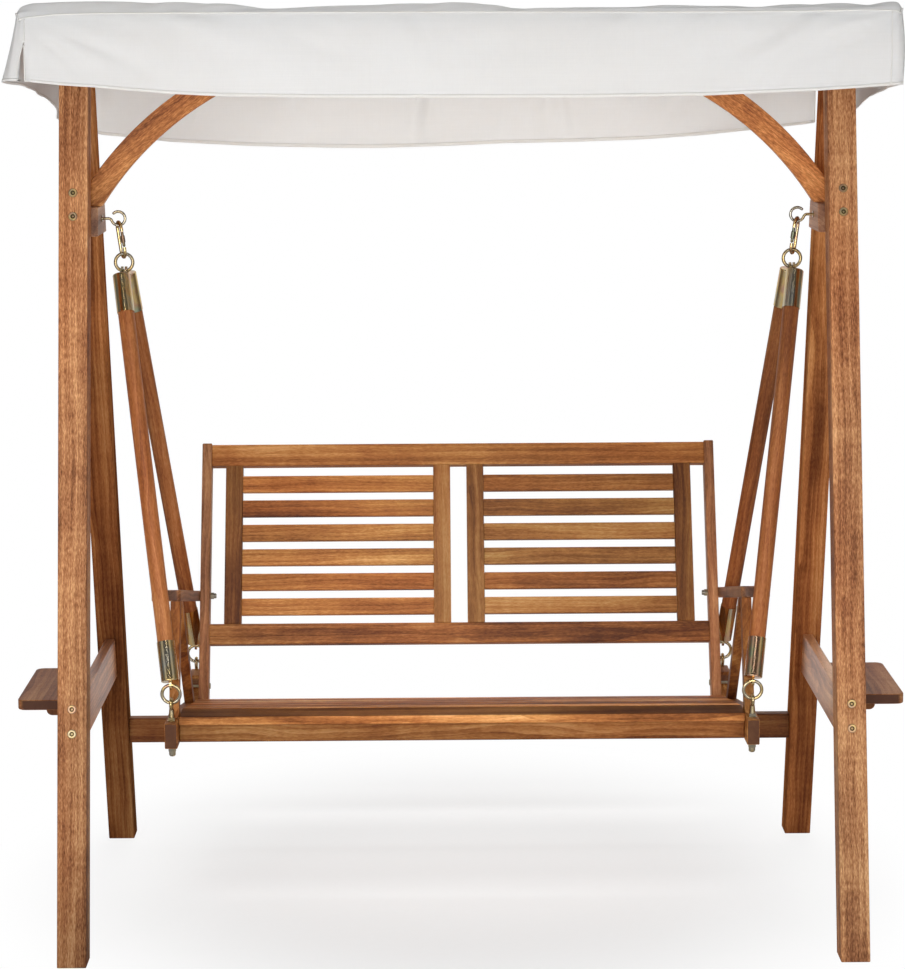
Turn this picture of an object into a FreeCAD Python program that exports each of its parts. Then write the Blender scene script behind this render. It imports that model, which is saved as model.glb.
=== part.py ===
import FreeCAD, Part
import Sketcher
import math
import os

# Canopy garden swing.  Millimetres, +Z up, the sitter faces -Y, origin on the
# ground under the middle of the trestles.  "left" is -X (left as seen from the
# front), "right" is +X.

V = FreeCAD.Vector
doc = FreeCAD.newDocument("canopy_garden_swing")
sheet = doc.addObject("Spreadsheet::Sheet", "Sheet")
sheet.Label = "Sheet"


class Q:
    """A size: its number and the sheet expression that gives it."""

    def __init__(self, v, e):
        self.v = float(v)
        self.e = e

    def __add__(self, o):
        o = q(o)
        return Q(self.v + o.v, "(%s + %s)" % (self.e, o.e))

    def __radd__(self, o):
        return q(o) + self

    def __sub__(self, o):
        o = q(o)
        return Q(self.v - o.v, "(%s - %s)" % (self.e, o.e))

    def __rsub__(self, o):
        return q(o) - self

    def __mul__(self, o):
        o = q(o)
        return Q(self.v * o.v, "(%s * %s)" % (self.e, o.e))

    def __rmul__(self, o):
        return q(o) * self

    def __truediv__(self, o):
        o = q(o)
        return Q(self.v / o.v, "(%s / %s)" % (self.e, o.e))

    def __rtruediv__(self, o):
        return q(o) / self

    def __neg__(self):
        return Q(-self.v, "(-1 * %s)" % self.e)


def q(x):
    if isinstance(x, Q):
        return x
    return Q(x, "(%.6f)" % x if x < 0 else "%.6f" % x)


def root(a):
    return Q(math.sqrt(a.v), "sqrt(%s)" % a.e)


ROW = [0]


def dim(alias, value, note=""):
    ROW[0] += 1
    sheet.set("A%d" % ROW[0], alias)
    sheet.set("B%d" % ROW[0], "%.6g" % value)
    sheet.setAlias("B%d" % ROW[0], alias)
    if note:
        sheet.set("C%d" % ROW[0], note)
    return Q(float("%.6g" % value), "Sheet." + alias)


# ---------------------------------------------------------------- sizes
ease = dim("edge_ease", 2.5, "eased edge of sawn timber")
ease_s = dim("edge_ease_small", 1.6, "eased edge of slats")

leg_w = dim("leg_width", 60, "leg section across the swing")
leg_d = dim("leg_depth", 60, "leg section along its lean")
leg_x = dim("leg_outer_x", 829, "outer face of the legs")
leg_foot = dim("leg_foot_y", 449, "leg centre line at the ground")
lean = dim("leg_lean", 0.2351, "lean of the legs, y per z")
leg_top = dim("leg_top_z", 1862, "top of the trestles")
leg_hh = leg_d / 2 * root(1 + lean * lean)      # half thickness measured level
leg_in = leg_x - leg_w


def leg_inner_y(z):
    """Level distance from the middle plane to the facing side of a leg."""
    return leg_foot - lean * z - leg_hh


bar_t = dim("crossbar_thick", 22)
bar_x = dim("crossbar_inner_x", 788)
lbar_z0 = dim("lower_crossbar_z0", 416)
lbar_z1 = dim("lower_crossbar_z1", 510)
ubar_z0 = dim("upper_crossbar_z0", 1462)
ubar_z1 = dim("upper_crossbar_z1", 1552)
blk_x = dim("hook_block_inner_x", 755)
blk_z0 = dim("hook_block_z0", 1457)
blk_z1 = dim("hook_block_z1", 1517)
ridge_z0 = dim("ridge_z0", 1772)
ridge_z1 = dim("ridge_z1", 1845)
ridge_t = dim("ridge_thick", 45)
brace_cx = dim("brace_centre_x", 169.8)
brace_cz = dim("brace_centre_z", 1139.6)
brace_ri = dim("brace_inner_radius", 694)
brace_w = dim("brace_width", 48)
brace_t = dim("brace_thick", 36)
str_y0 = dim("stretcher_front_y", 370)
str_t = dim("stretcher_thick", 28)
str_z0 = dim("stretcher_z0", 246)
str_z1 = dim("stretcher_z1", 304)
shelf_x1 = dim("shelf_outer_x", 945)
shelf_y = dim("shelf_half_length", 148)
shelf_z0 = dim("shelf_z0", 457)
shelf_t = dim("shelf_thick", 22)
shelf_r = dim("shelf_corner", 18)
clt_x1 = dim("cleat_outer_x", 886)
clt_z0 = dim("cleat_z0", 440)
clt_y = dim("cleat_mid_y", 115)
clt_t = dim("cleat_thick", 22)

back_t = dim("back_lean", 0.454545, "lean of the backrest, y per z")
back_y = dim("back_foot_y", 99.25, "front of the backrest at seat height")
back_z = dim("back_foot_z", 415.5)
az = 1 / root(1 + back_t * back_t)
ay = back_t * az


def back(s, d):
    """Point in the side view: s up along the backrest, d behind its front."""
    s, d = q(s), q(d)
    return (back_y + s * ay + d * az, back_z + s * az - d * ay)


def back_rect(s0, s1, d0, d1):
    return [back(s0, d0), back(s0, d1), back(s1, d1), back(s1, d0)]


stile_x1 = dim("stile_outer_x", 582)
stile_w = dim("stile_width", 22)
stile_d = dim("stile_depth", 39)
stile_s0 = dim("stile_foot_s", -33.5)
stile_s1 = dim("stile_top_s", 592.3)
rail_t = dim("back_rail_thick", 24)
trail_s0 = dim("top_rail_s0", 538.5)
trail_s1 = dim("top_rail_s1", 588.5)
brail_s0 = dim("bottom_rail_s0", 125.5)
brail_s1 = dim("bottom_rail_s1", 172)
up_in = dim("inner_upright_x", 18.5)
up_out = dim("outer_upright_x", 489)
up_w = dim("upright_width", 38.5)
bslat_h = dim("back_slat_height", 38)
bslat_t = dim("back_slat_thick", 13)
bslat_s = dim("back_slat_first_s", 192.5)
bslat_p = dim("back_slat_pitch", 56.9)

side_x0 = dim("side_rail_inner_x", 582.5)
side_t = dim("side_rail_thick", 26)
frail_y0 = dim("front_rail_y", -341.8)
frail_t = dim("front_rail_thick", 22)
frail_z0 = dim("front_rail_z0", 437)
frail_z1 = dim("front_rail_z1", 473.4)
sslat_t = dim("seat_slat_thick", 18)
sslat0_y0 = dim("front_slat_y0", -347.7)
sslat0_w = dim("front_slat_width", 69)
sslat_w = dim("seat_slat_width", 64)
sslat_g = dim("seat_slat_gap", 10)
seat_t = dim("seat_slope", 0.1944)
seat_y0 = dim("seat_slope_y0", -270.1)
seat_z0 = dim("seat_slope_z0", 489.7, "slat top where the slope begins")
sc = 1 / root(1 + seat_t * seat_t)
ss = seat_t * sc


def seat(u, d):
    """Point in the side view: u back along the seat, d below its top."""
    u, d = q(u), q(d)
    return (seat_y0 + u * sc - d * ss, seat_z0 - u * ss - d * sc)


arm_y0 = dim("armrest_front_y", -248)
arm_z0 = dim("armrest_front_z", 737.1)
arm_t = dim("armrest_thick", 23.5)
arm_deg = dim("armrest_slope_deg", 12)
arm_x1 = dim("armrest_outer_x", 643.5)
arm_xt = dim("armrest_tongue_x", 592.4)
leg2_x0 = dim("arm_post_inner_x", 583.4)
leg2_t = dim("arm_post_thick", 20)
leg2_w = dim("arm_post_width", 33.5)

eye_x = dim("eye_bolt_x", 595.5)
eye_fy = dim("eye_front_y", -359.4)
eye_ry = dim("eye_rear_y", 220.1)
ring_R = dim("ring_mid_radius", 18.5)
ring_r = dim("ring_wire_radius", 3.5)
fring_z = dim("front_ring_z", 543.2)
rring_z = dim("rear_ring_z", 493.1)
top_x = dim("top_ring_x", 710)
top_z = dim("top_ring_z", 1397)
rod_d = dim("arm_rod_diameter", 34)
fer_od = dim("ferrule_outer", 37)
fer_w = dim("ferrule_wall", 1.3)
fer_lt = dim("ferrule_top_length", 85)
fer_lb = dim("ferrule_bottom_length", 83)
eye_R = dim("eye_mid_radius", 10)
eye_r = dim("eye_wire_radius", 3.5)
hook_x = dim("hook_centre_x", 720)
hook_z = dim("hook_centre_z", 1490)
hook_R = dim("hook_mid_radius", 14.5)
hook_r = dim("hook_wire_radius", 3)
car_w = dim("snap_link_width", 36)
car_r = dim("snap_link_wire_radius", 3.5)
car_gap = dim("snap_link_play", 0.6)
car_deg = dim("snap_link_turn", -23)

can_deg = dim("canopy_tilt_deg", 7, "canopy slope, rear edge low")
piv_z = dim("canopy_pivot_z", 1840)
can_x = dim("canopy_half_width", 866)
can_y = dim("canopy_half_depth", 378)
can_h = dim("canopy_top_above_pivot", 38)
can_drop = dim("canopy_valance_deepest", 216)
can_dc = dim("canopy_valance_corner", 146)
can_df = dim("canopy_valance_front_mid", 176)
can_dr = dim("canopy_valance_rear_mid", 212)
can_t = dim("canopy_cloth_solid", 2)
sbar_x = dim("canopy_side_x", 834)
sbar_t = dim("canopy_side_thick", 18)
sbar_lo = dim("canopy_side_below", -12)
sbar_hi = dim("canopy_side_above", 33)
sbar_y = dim("canopy_side_half_length", 372)
cbar_t = dim("canopy_cross_thick", 22)
cbar_h = dim("canopy_cross_height", 32)
plate_t = dim("apex_plate_thick", 4)
doc.recompute()

PARTS = []          # the sub-parts that get a file, in order


def keep(obj, label):
    obj.Label = label
    PARTS.append(obj)
    return obj


def plane_of(body, role):
    return [f for f in body.Origin.OriginFeatures if f.Role == role][0]


def edges_at(shape, direction, points, tol=0.8):
    """Names of the edges along a direction that pass through given points."""
    names = []
    for i, e in enumerate(shape.Edges):
        if len(e.Vertexes) != 2:
            continue
        a, b = e.Vertexes[0].Point, e.Vertexes[1].Point
        d = b - a
        if d.Length < 1e-6 or abs(abs(d.normalize().dot(direction)) - 1) > 1e-4:
            continue
        for p in points:
            w = p - a
            w = w - direction * w.dot(direction)
            if w.Length < tol:
                names.append("Edge%d" % (i + 1))
                break
    return names


def board(label, plane, pts, lo, hi, edge=ease, rounds=(), make=True):
    """A board: an outline in one plane and a thickness square to it.

    plane YZ: outline (y, z), thickness along x; XZ: (x, z), along y;
    XY: (x, y), along z.  rounds: (corner numbers, radius) rounded first.
    """
    pts = [(q(a), q(b)) for a, b in pts]
    lo, hi = q(lo), q(hi)
    body = doc.addObject("PartDesign::Body", label)
    body.Label = label
    sk = body.newObject("Sketcher::SketchObject", label + "_outline")
    sk.AttachmentSupport = [(plane_of(body, plane + "_Plane"), "")]
    sk.MapMode = "FlatFace"
    n = len(pts)
    for i in range(n):
        a, b = pts[i], pts[(i + 1) % n]
        sk.addGeometry(Part.LineSegment(V(a[0].v, a[1].v, 0), V(b[0].v, b[1].v, 0)), False)
    for i in range(n):
        sk.addConstraint(Sketcher.Constraint("Coincident", i, 2, (i + 1) % n, 1))
    for i in range(n):
        for kind, val in (("DistanceX", pts[i][0]), ("DistanceY", pts[i][1])):
            if abs(val.v) < 1e-9:
                sk.addConstraint(Sketcher.Constraint("PointOnObject", i, 1, -2 if kind == "DistanceX" else -1))
                continue
            c = sk.addConstraint(Sketcher.Constraint(kind, -1, 1, i, 1, val.v))
            name = "%s%d" % ("across" if kind == "DistanceX" else "up", i)
            sk.renameConstraint(c, name)
            sk.setExpression("Constraints." + name, val.e)
    pad = body.newObject("PartDesign::Pad", label + "_pad")
    pad.Profile = sk
    pad.setExpression("Length", (hi - lo).e)
    if plane == "YZ":
        axis, direction = "x", V(1, 0, 0)
        body.setExpression("Placement.Base.x", lo.e)
    elif plane == "XZ":
        axis, direction = "y", V(0, 1, 0)
        body.setExpression("Placement.Base.y", hi.e)
    else:
        axis, direction = "z", V(0, 0, 1)
        body.setExpression("Placement.Base.z", lo.e)
    doc.recompute()
    last = pad
    for numbers, radius in rounds:
        if plane == "YZ":
            at = [V(0, pts[i][0].v, pts[i][1].v) for i in numbers]
        elif plane == "XZ":
            at = [V(pts[i][0].v, 0, pts[i][1].v) for i in numbers]
        else:
            at = [V(pts[i][0].v, pts[i][1].v, 0) for i in numbers]
        fil = body.newObject("PartDesign::Fillet", label + "_round")
        fil.Base = (last, edges_at(last.Shape, direction, at))
        fil.setExpression("Radius", q(radius).e)
        doc.recompute()
        last = fil
    if edge is not None:
        fil = body.newObject("PartDesign::Fillet", label + "_eased")
        fil.Base = (last, ["Edge1"])
        fil.UseAllEdges = True
        fil.setExpression("Radius", q(edge).e)
        doc.recompute()
        if "Invalid" in fil.State or "Error" in fil.State or not fil.Shape.isValid():
            print("easing dropped on", label)
            body.removeObject(fil)
            doc.removeObject(fil.Name)
            body.Tip = last
            doc.recompute()
    return keep(body, label) if make else body


def group(label, members):
    c = doc.addObject("Part::Compound", label)
    c.Links = members
    return keep(c, label)


def solid(label, shape, make=True):
    f = doc.addObject("Part::Feature", label)
    f.Shape = shape
    f.Label = label
    if make:
        PARTS.append(f)
    return f


def flip(pts):
    """The same outline on the other side of the middle plane (x to -x)."""
    return [(-q(a), q(b)) for a, b in pts]


def span(side, lo, hi):
    lo, hi = q(lo), q(hi)
    return (lo, hi) if side > 0 else (-hi, -lo)


SIDES = (("left", -1), ("right", 1))

# ---------------------------------------------------------------- trestles
z_meet = (leg_foot - leg_hh) / lean             # where the facing sides meet
for name, sx in SIDES:
    x0, x1 = span(sx, leg_in, leg_x)
    for end, sy in (("front", -1), ("rear", 1)):
        outer_top = leg_foot - lean * leg_top + leg_hh
        pts = [(leg_foot + leg_hh, q(0)), (leg_foot - leg_hh, q(0)), (q(0.0), z_meet),
               (q(0.0), leg_top), (outer_top, leg_top)]
        pts = [(sy * a, b) for a, b in pts]
        board("leg_%s_%s" % (end, name), "YZ", pts, x0, x1)

    def between(z0, z1):
        a, b = leg_inner_y(z0), leg_inner_y(z1)
        return [(-a, z0), (a, z0), (b, z1), (-b, z1)]

    x0, x1 = span(sx, bar_x, bar_x + bar_t)
    board("lower_crossbar_" + name, "YZ", between(lbar_z0, lbar_z1), x0, x1)
    board("upper_crossbar_" + name, "YZ", between(ubar_z0, ubar_z1), x0, x1)
    x0, x1 = span(sx, blk_x, bar_x)
    board("hook_block_" + name, "YZ", between(blk_z0, blk_z1), x0, x1)

    # curved brace: a ring sector cut square at the crossbar, block and ridge
    outer = doc.addObject("Part::Cylinder", "brace_outer_" + name)
    outer.setExpression("Radius", (brace_ri + brace_w).e)
    inner = doc.addObject("Part::Cylinder", "brace_inner_" + name)
    inner.setExpression("Radius", brace_ri.e)
    for c in (outer, inner):
        c.setExpression("Height", brace_t.e)
        c.Placement = FreeCAD.Placement(V(sx * brace_cx.v, brace_t.v / 2, brace_cz.v),
                                        FreeCAD.Rotation(V(1, 0, 0), 90))
        c.setExpression("Placement.Base.x", (sx * brace_cx).e)
        c.setExpression("Placement.Base.y", (brace_t / 2).e)
        c.setExpression("Placement.Base.z", brace_cz.e)
    hoop = doc.addObject("Part::Cut", "brace_hoop_" + name)
    hoop.Base, hoop.Tool = outer, inner
    win = doc.addObject("Part::Box", "brace_window_" + name)
    win.setExpression("Length", (bar_x - 300).e)
    win.setExpression("Width", (brace_t + 10).e)
    win.setExpression("Height", (ridge_z0 - blk_z1).e)
    win.setExpression("Placement.Base.x", (q(300) if sx > 0 else -bar_x).e)
    win.setExpression("Placement.Base.y", (-(brace_t + 10) / 2).e)
    win.setExpression("Placement.Base.z", blk_z1.e)
    doc.recompute()
    fil = doc.addObject("Part::Chamfer", "brace_eased_" + name)
    fil.Base = hoop
    fil.Edges = [(i + 1, ease_s.v, ease_s.v) for i, e in enumerate(hoop.Shape.Edges) if e.Length > 1000]
    arc = doc.addObject("Part::Common", "brace_" + name)
    arc.Base, arc.Tool = fil, win
    doc.recompute()
    keep(arc, "brace_" + name)

    pts = [(bar_x + bar_t, -shelf_y), (shelf_x1, -shelf_y), (shelf_x1, shelf_y), (bar_x + bar_t, shelf_y)]
    board("shelf_" + name, "XY", pts if sx > 0 else flip(pts), shelf_z0, shelf_z0 + shelf_t,
          rounds=(((1, 2), shelf_r),))

cleats = []
for name, sx in SIDES:
    for end, sy in (("front", -1), ("rear", 1)):
        pts = [(bar_x + bar_t, clt_z0), (clt_x1, clt_z0), (clt_x1, shelf_z0), (bar_x + bar_t, shelf_z0)]
        cleats.append(board("cleat_%s_%s" % (end, name), "XZ", pts if sx > 0 else flip(pts),
                            sy * clt_y - clt_t / 2, sy * clt_y + clt_t / 2, edge=ease_s,
                            rounds=(((1,), 12),), make=False))
group("shelf_cleats", cleats)

board("ridge_beam", "YZ", [(-ridge_t / 2, ridge_z0), (ridge_t / 2, ridge_z0),
                           (ridge_t / 2, ridge_z1), (-ridge_t / 2, ridge_z1)], -leg_in, leg_in)
board("rear_stretcher", "YZ", [(str_y0, str_z0), (str_y0 + str_t, str_z0),
                               (str_y0 + str_t, str_z1), (str_y0, str_z1)], -leg_in, leg_in)

# ---------------------------------------------------------------- screws of the trestles


def hexagon(c, axis, flats, depth, ref=V(1, 0, 0)):
    axis = V(axis).normalize()
    if abs(axis.dot(ref)) > 0.9:
        ref = V(0, 1, 0)
    e1 = (ref - axis * ref.dot(axis)).normalize()
    e2 = axis.cross(e1)
    r = flats / math.sqrt(3)
    pts = [c + e1 * (r * math.cos(math.radians(60 * i + 30))) + e2 * (r * math.sin(math.radians(60 * i + 30)))
           for i in range(6)]
    return Part.Face(Part.makePolygon(pts + [pts[0]])).extrude(axis * depth)


def screw(seat_pt, out, head_d, head_h, shank_d, length, socket):
    """A flanged socket screw: seat_pt on the wood, out points off the wood."""
    out = V(out).normalize()
    head = Part.makeCylinder(head_d / 2, head_h, seat_pt, out)
    rim = [e for e in head.Edges if abs((e.CenterOfMass - (seat_pt + out * head_h)).Length) < 1e-3]
    head = head.makeChamfer(head_h * 0.45, rim[:1])
    head = head.cut(hexagon(seat_pt + out * (head_h - socket[1]), out, socket[0], socket[1] + 1))
    shank = Part.makeCylinder(shank_d / 2, length, seat_pt - out * length, out)
    return head.fuse(shank).removeSplitter()


lc = 1 / math.sqrt(1 + lean.v ** 2)
screws = []
for sx in (-1, 1):
    for sy in (-1, 1):
        for z in (463.0, 512.0, 1503.0, 1551.0):
            y = -(leg_foot.v - lean.v * z + leg_hh.v)
            p = V(sx * (bar_x.v + bar_t.v / 2), -sy * y, z)
            out = V(0, sy * lc, lean.v * lc)
            screws.append(screw(p, out, 18.5, 2.8, 7.0, 105.0 if z < 1000 else 95.0, (5.0, 1.8)))
solid("leg_screws", Part.makeCompound(screws))
bolts = []
for sx in (-1, 1):
    for y, z, ln in ((-14.0, 1790.0, 120.0), (14.0, 1790.0, 120.0), (384.0, 262.0, 120.0), (384.0, 288.0, 120.0)):
        face = leg_x.v + (plate_t.v if z > 1000 else 0.0)
        bolts.append(screw(V(sx * face, y, z), V(sx, 0, 0), 16.0, 2.6, 7.0, ln, (5.0, 1.8)))
solid("side_bolts", Part.makeCompound(bolts))

# ---------------------------------------------------------------- hooks


def sweep(wire, radius):
    """A round wire of the given radius along a path."""
    e = wire.OrderedEdges[0]
    p = wire.OrderedVertexes[0].Point
    t = e.tangentAt(e.FirstParameter)
    if (e.valueAt(e.FirstParameter) - p).Length > 1e-6:
        t = e.tangentAt(e.LastParameter) * -1
    prof = Part.Wire([Part.Edge(Part.Circle(p, t, radius))])
    sh = Part.BRepOffsetAPI.MakePipeShell(wire)
    sh.setTransitionMode(1)
    sh.add(prof, False, False)
    sh.build()
    sh.makeSolid()
    return sh.shape()


r1 = 8.0
hx, hz, hR = hook_x.v, hook_z.v, hook_R.v
xs = math.sqrt((hR + r1) ** 2 - r1 ** 2)        # where the shank starts to bend
tx, tz = hR * xs / (hR + r1), -hR * r1 / (hR + r1)


def hook_wire(sx):
    def P(x, z):
        return V(sx * (hx + x), 0, hz + z)
    # shank, small bend down, then three quarters of a turn round the eye
    c1 = (xs, -r1)
    a0 = math.pi / 2
    a1 = math.atan2(tz - c1[1], tx - c1[0])
    am = (a0 + a1) / 2
    p0, p1, p2 = P(105.0, 0), P(xs, 0), P(tx, tz)
    bend_mid = P(c1[0] + r1 * math.cos(am), c1[1] + r1 * math.sin(am))
    b0 = math.atan2(tz, tx)
    b1 = b0 - math.radians(290.0)
    bm = (b0 + b1) / 2
    mid = P(hR * math.cos(bm), hR * math.sin(bm))
    tip = P(hR * math.cos(b1), hR * math.sin(b1))
    return Part.Wire([Part.LineSegment(p0, p1).toShape(), Part.Arc(p1, bend_mid, p2).toShape(),
                      Part.Arc(p2, mid, tip).toShape()]), tip


for name, sx in SIDES:
    w, tip = hook_wire(sx)
    s = sweep(w, hook_r.v)
    s = s.fuse(Part.makeSphere(hook_r.v, tip)).removeSplitter()
    collar = Part.makeCylinder(7.0, 2.0, V(sx * (blk_x.v - 2.0), 0, hz), V(sx, 0, 0))
    s = s.fuse(collar).removeSplitter()
    solid("hook_" + name, s)

# ---------------------------------------------------------------- apex plates and canopy studs
plates = []
for name, sx in SIDES:
    pts = [(q(-34), q(1772)), (q(34), q(1772)), (q(34), leg_top - 4), (q(-34), leg_top - 4)]
    x0, x1 = span(sx, leg_x, leg_x + plate_t)
    blank = board("apex_plate_blank_" + name, "YZ", pts, x0, x1, edge=None, rounds=(((0, 1, 2, 3), 8),), make=False)
    holes = []
    for y in (-14, 14):
        c = doc.addObject("Part::Cylinder", "apex_hole_" + name)
        c.Radius = 3.8
        c.Height = 40
        c.Placement = FreeCAD.Placement(V(sx * leg_x.v - 20, y, 1790), FreeCAD.Rotation(V(0, 1, 0), 90))
        holes.append(c)
    both = doc.addObject("Part::MultiFuse", "apex_holes_" + name)
    both.Shapes = holes
    plate = doc.addObject("Part::Cut", "apex_plate_" + name)
    plate.Base, plate.Tool = blank, both
    plates.append(plate)
group("apex_plates", plates)
studs = []
for sx in (-1, 1):
    p = V(sx * (leg_x.v + plate_t.v), 0, piv_z.v)
    st = Part.makeCylinder(4.0, sbar_x.v + sbar_t.v + 8.0 - leg_x.v - plate_t.v, p, V(sx, 0, 0))
    nx = sbar_x.v + sbar_t.v + 0.5
    nut = hexagon(V(sx * nx, 0, piv_z.v), V(sx, 0, 0), 13.0, 6.5)
    studs.append(st.fuse(nut).removeSplitter())
solid("canopy_studs", Part.makeCompound(studs))

# ---------------------------------------------------------------- canopy frame and cloth (level, then tilted about the studs)
tilt = FreeCAD.Placement(V(0, 0, piv_z.v), FreeCAD.Rotation(V(1, 0, 0), -can_deg.v))


def tip_up(obj):
    obj.Placement = tilt.multiply(obj.Placement)


for name, sx in SIDES:
    x0, x1 = span(sx, sbar_x, sbar_x + sbar_t)
    b = board("canopy_bar_" + name, "YZ", [(-sbar_y, sbar_lo), (sbar_y, sbar_lo), (sbar_y, sbar_hi), (-sbar_y, sbar_hi)],
              x0, x1, edge=ease_s, make=False)
    bore = doc.addObject("Part::Cylinder", "canopy_bore_" + name)
    bore.Radius = 4.1
    bore.Height = 60
    bore.Placement = FreeCAD.Placement(V(sx * (sbar_x.v + sbar_t.v / 2) - 30, 0, 0), FreeCAD.Rotation(V(0, 1, 0), 90))
    b.setExpression("Placement.Base.x", None)
    b.Placement = tilt.multiply(FreeCAD.Placement(V(x0.v, 0, 0), FreeCAD.Rotation()))
    bore.Placement = tilt.multiply(bore.Placement)
    cut = doc.addObject("Part::Cut", "canopy_side_" + name)
    cut.Base, cut.Tool = b, bore
    keep(cut, "canopy_side_" + name)
for end, sy in (("front", -1), ("rear", 1)):
    ya, yb = sorted((sy * sbar_y.v, sy * (sbar_y.v - cbar_t.v)))
    y0, y1 = ((-sbar_y, -sbar_y + cbar_t) if sy < 0 else (sbar_y - cbar_t, sbar_y))
    b = board("canopy_%s_bar" % end, "YZ", [(y0, sbar_hi - cbar_h), (y1, sbar_hi - cbar_h), (y1, sbar_hi), (y0, sbar_hi)],
              -sbar_x, sbar_x, edge=ease_s)
    b.setExpression("Placement.Base.x", None)
    b.Placement = tilt.multiply(FreeCAD.Placement(V(-sbar_x.v, 0, 0), FreeCAD.Rotation()))
shell = []
for nm, off in (("outer", 0.0), ("inner", 1.0)):
    bx = doc.addObject("Part::Box", "canopy_cloth_" + nm)
    ins = can_t * off
    bx.setExpression("Length", (2 * (can_x - ins)).e)
    bx.setExpression("Width", (2 * (can_y - ins)).e)
    bx.setExpression("Height", (can_drop + (20 if off else 0) - ins).e)
    bx.Placement = tilt.multiply(FreeCAD.Placement(
        V(-(can_x.v - ins.v), -(can_y.v - ins.v), can_h.v - can_drop.v - (20 if off else 0)), FreeCAD.Rotation()))
    shell.append(bx)
tray = doc.addObject("Part::Cut", "canopy_tray")
tray.Base, tray.Tool = shell
trims = []
for end, sy, mid in (("front", -1, can_df), ("rear", 1, can_dr)):
    hc, h1, hm = can_h - can_dc, can_h - mid + 6, can_h - mid
    pts = [(-can_x - 40, can_h - 300), (can_x + 40, can_h - 300), (can_x + 40, hc), (can_x, hc), (can_x * 0.55, h1), (q(0.0), hm),
           (-can_x * 0.55, h1), (-can_x, hc), (-can_x - 40, hc)]
    lo, hi = ((-can_y - 40, q(0.0)) if sy < 0 else (q(0.0), can_y + 40))
    t = board("canopy_trim_" + end, "XZ", pts, lo, hi, edge=None, make=False)
    t.setExpression("Placement.Base.y", None)
    t.Placement = tilt.multiply(FreeCAD.Placement(V(0, hi.v, 0), FreeCAD.Rotation()))
    trims.append(t)
trim = doc.addObject("Part::MultiFuse", "canopy_trim")
trim.Shapes = trims
cloth = doc.addObject("Part::Cut", "canopy_cloth")
cloth.Base, cloth.Tool = tray, trim
keep(cloth, "canopy_cloth")

# ---------------------------------------------------------------- bench: side rails, seat
rail_pts = [(-384, 433.2), (-279, 431.2), (35.4, 370.3), (242, 379.2), (242, 454.8), (161, 454.8), (143.4, 421.4),
            (99.3, 414.5), (-279, 485.2), (-384, 486.2)]
rail_q = [(dim("side_rail_y%d" % i, a), dim("side_rail_z%d" % i, b)) for i, (a, b) in enumerate(rail_pts)]
doc.recompute()


def on_rail(y):
    """Top edge of the side rail along the seat."""
    a, b = rail_q[8], rail_q[7]
    return a[1] + (q(y) - a[0]) * ((b[1] - a[1]) / (b[0] - a[0]))


def on_rail_front(y):
    """Top edge of the side rail at its front end."""
    a, b = rail_q[9], rail_q[8]
    return a[1] + (q(y) - a[0]) * ((b[1] - a[1]) / (b[0] - a[0]))


for name, sx in SIDES:
    x0, x1 = span(sx, side_x0, side_x0 + side_t)
    r = board("side_rail_blank_" + name, "YZ", rail_q, x0, x1,
              rounds=(((6, 7), 30), ((4, 5), 14), ((3,), 10), ((2,), 60)), make=False)
    bores = []
    for y in (eye_fy, eye_ry):
        c = doc.addObject("Part::Cylinder", "eye_bore_" + name)
        c.Radius = 4.1
        c.Height = 200
        c.setExpression("Placement.Base.x", (sx * eye_x).e)
        c.setExpression("Placement.Base.y", y.e)
        c.setExpression("Placement.Base.z", q(300).e)
        bores.append(c)
    both = doc.addObject("Part::MultiFuse", "eye_bores_" + name)
    both.Shapes = bores
    cut = doc.addObject("Part::Cut", "side_rail_" + name)
    cut.Base, cut.Tool = r, both
    keep(cut, "side_rail_" + name)

    x0, x1 = span(sx, stile_x1 - stile_w, stile_x1)
    board("back_stile_" + name, "YZ", back_rect(stile_s0, stile_s1, 0, stile_d), x0, x1)

    # armrest: a paddle that narrows to a tongue beside the back stile
    k = math.cos(math.radians(arm_deg.v))
    f = 1 / k
    pts = [(stile_x1 + 0.5, q(0)), (arm_x1, q(0)), (arm_x1, q(264 * f)), (arm_xt, q(377 * f)),
           (arm_xt, q(493.6 * f)), (stile_x1 + 0.5, q(493.6 * f))]
    b = board("armrest_" + name, "XY", pts if sx > 0 else flip(pts), -arm_t, 0,
              rounds=(((0, 1), 14), ((2, 3), 40)))
    b.setExpression("Placement.Base.z", None)
    b.Placement = FreeCAD.Placement(V(0, arm_y0.v, arm_z0.v), FreeCAD.Rotation(V(1, 0, 0), -arm_deg.v)).multiply(
        FreeCAD.Placement(V(0, 0, -arm_t.v), FreeCAD.Rotation()))

    ta = math.tan(math.radians(arm_deg.v))

    def under(y):
        return arm_z0 - arm_t / k - (q(y) - arm_y0) * ta

    x0, x1 = span(sx, leg2_x0, leg2_x0 + leg2_t)
    y0 = -334.0
    posts = [
        board("arm_post_front_" + name, "YZ",
              [(q(y0), on_rail_front(y0)), (y0 + leg2_w, on_rail_front(y0 + leg2_w.v)), (q(-217), under(-217)),
               (-217 - leg2_w, under(-217 - leg2_w.v))], x0, x1, edge=ease_s, make=False),
        board("arm_post_rear_" + name, "YZ",
              [(q(1), on_rail(1)), (1 + leg2_w, on_rail(1 + leg2_w.v)),
               (-216 + leg2_w, under(-216 + leg2_w.v)), (q(-216), under(-216))], x0, x1, edge=ease_s, make=False)]
    group("arm_posts_" + name, posts)

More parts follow.
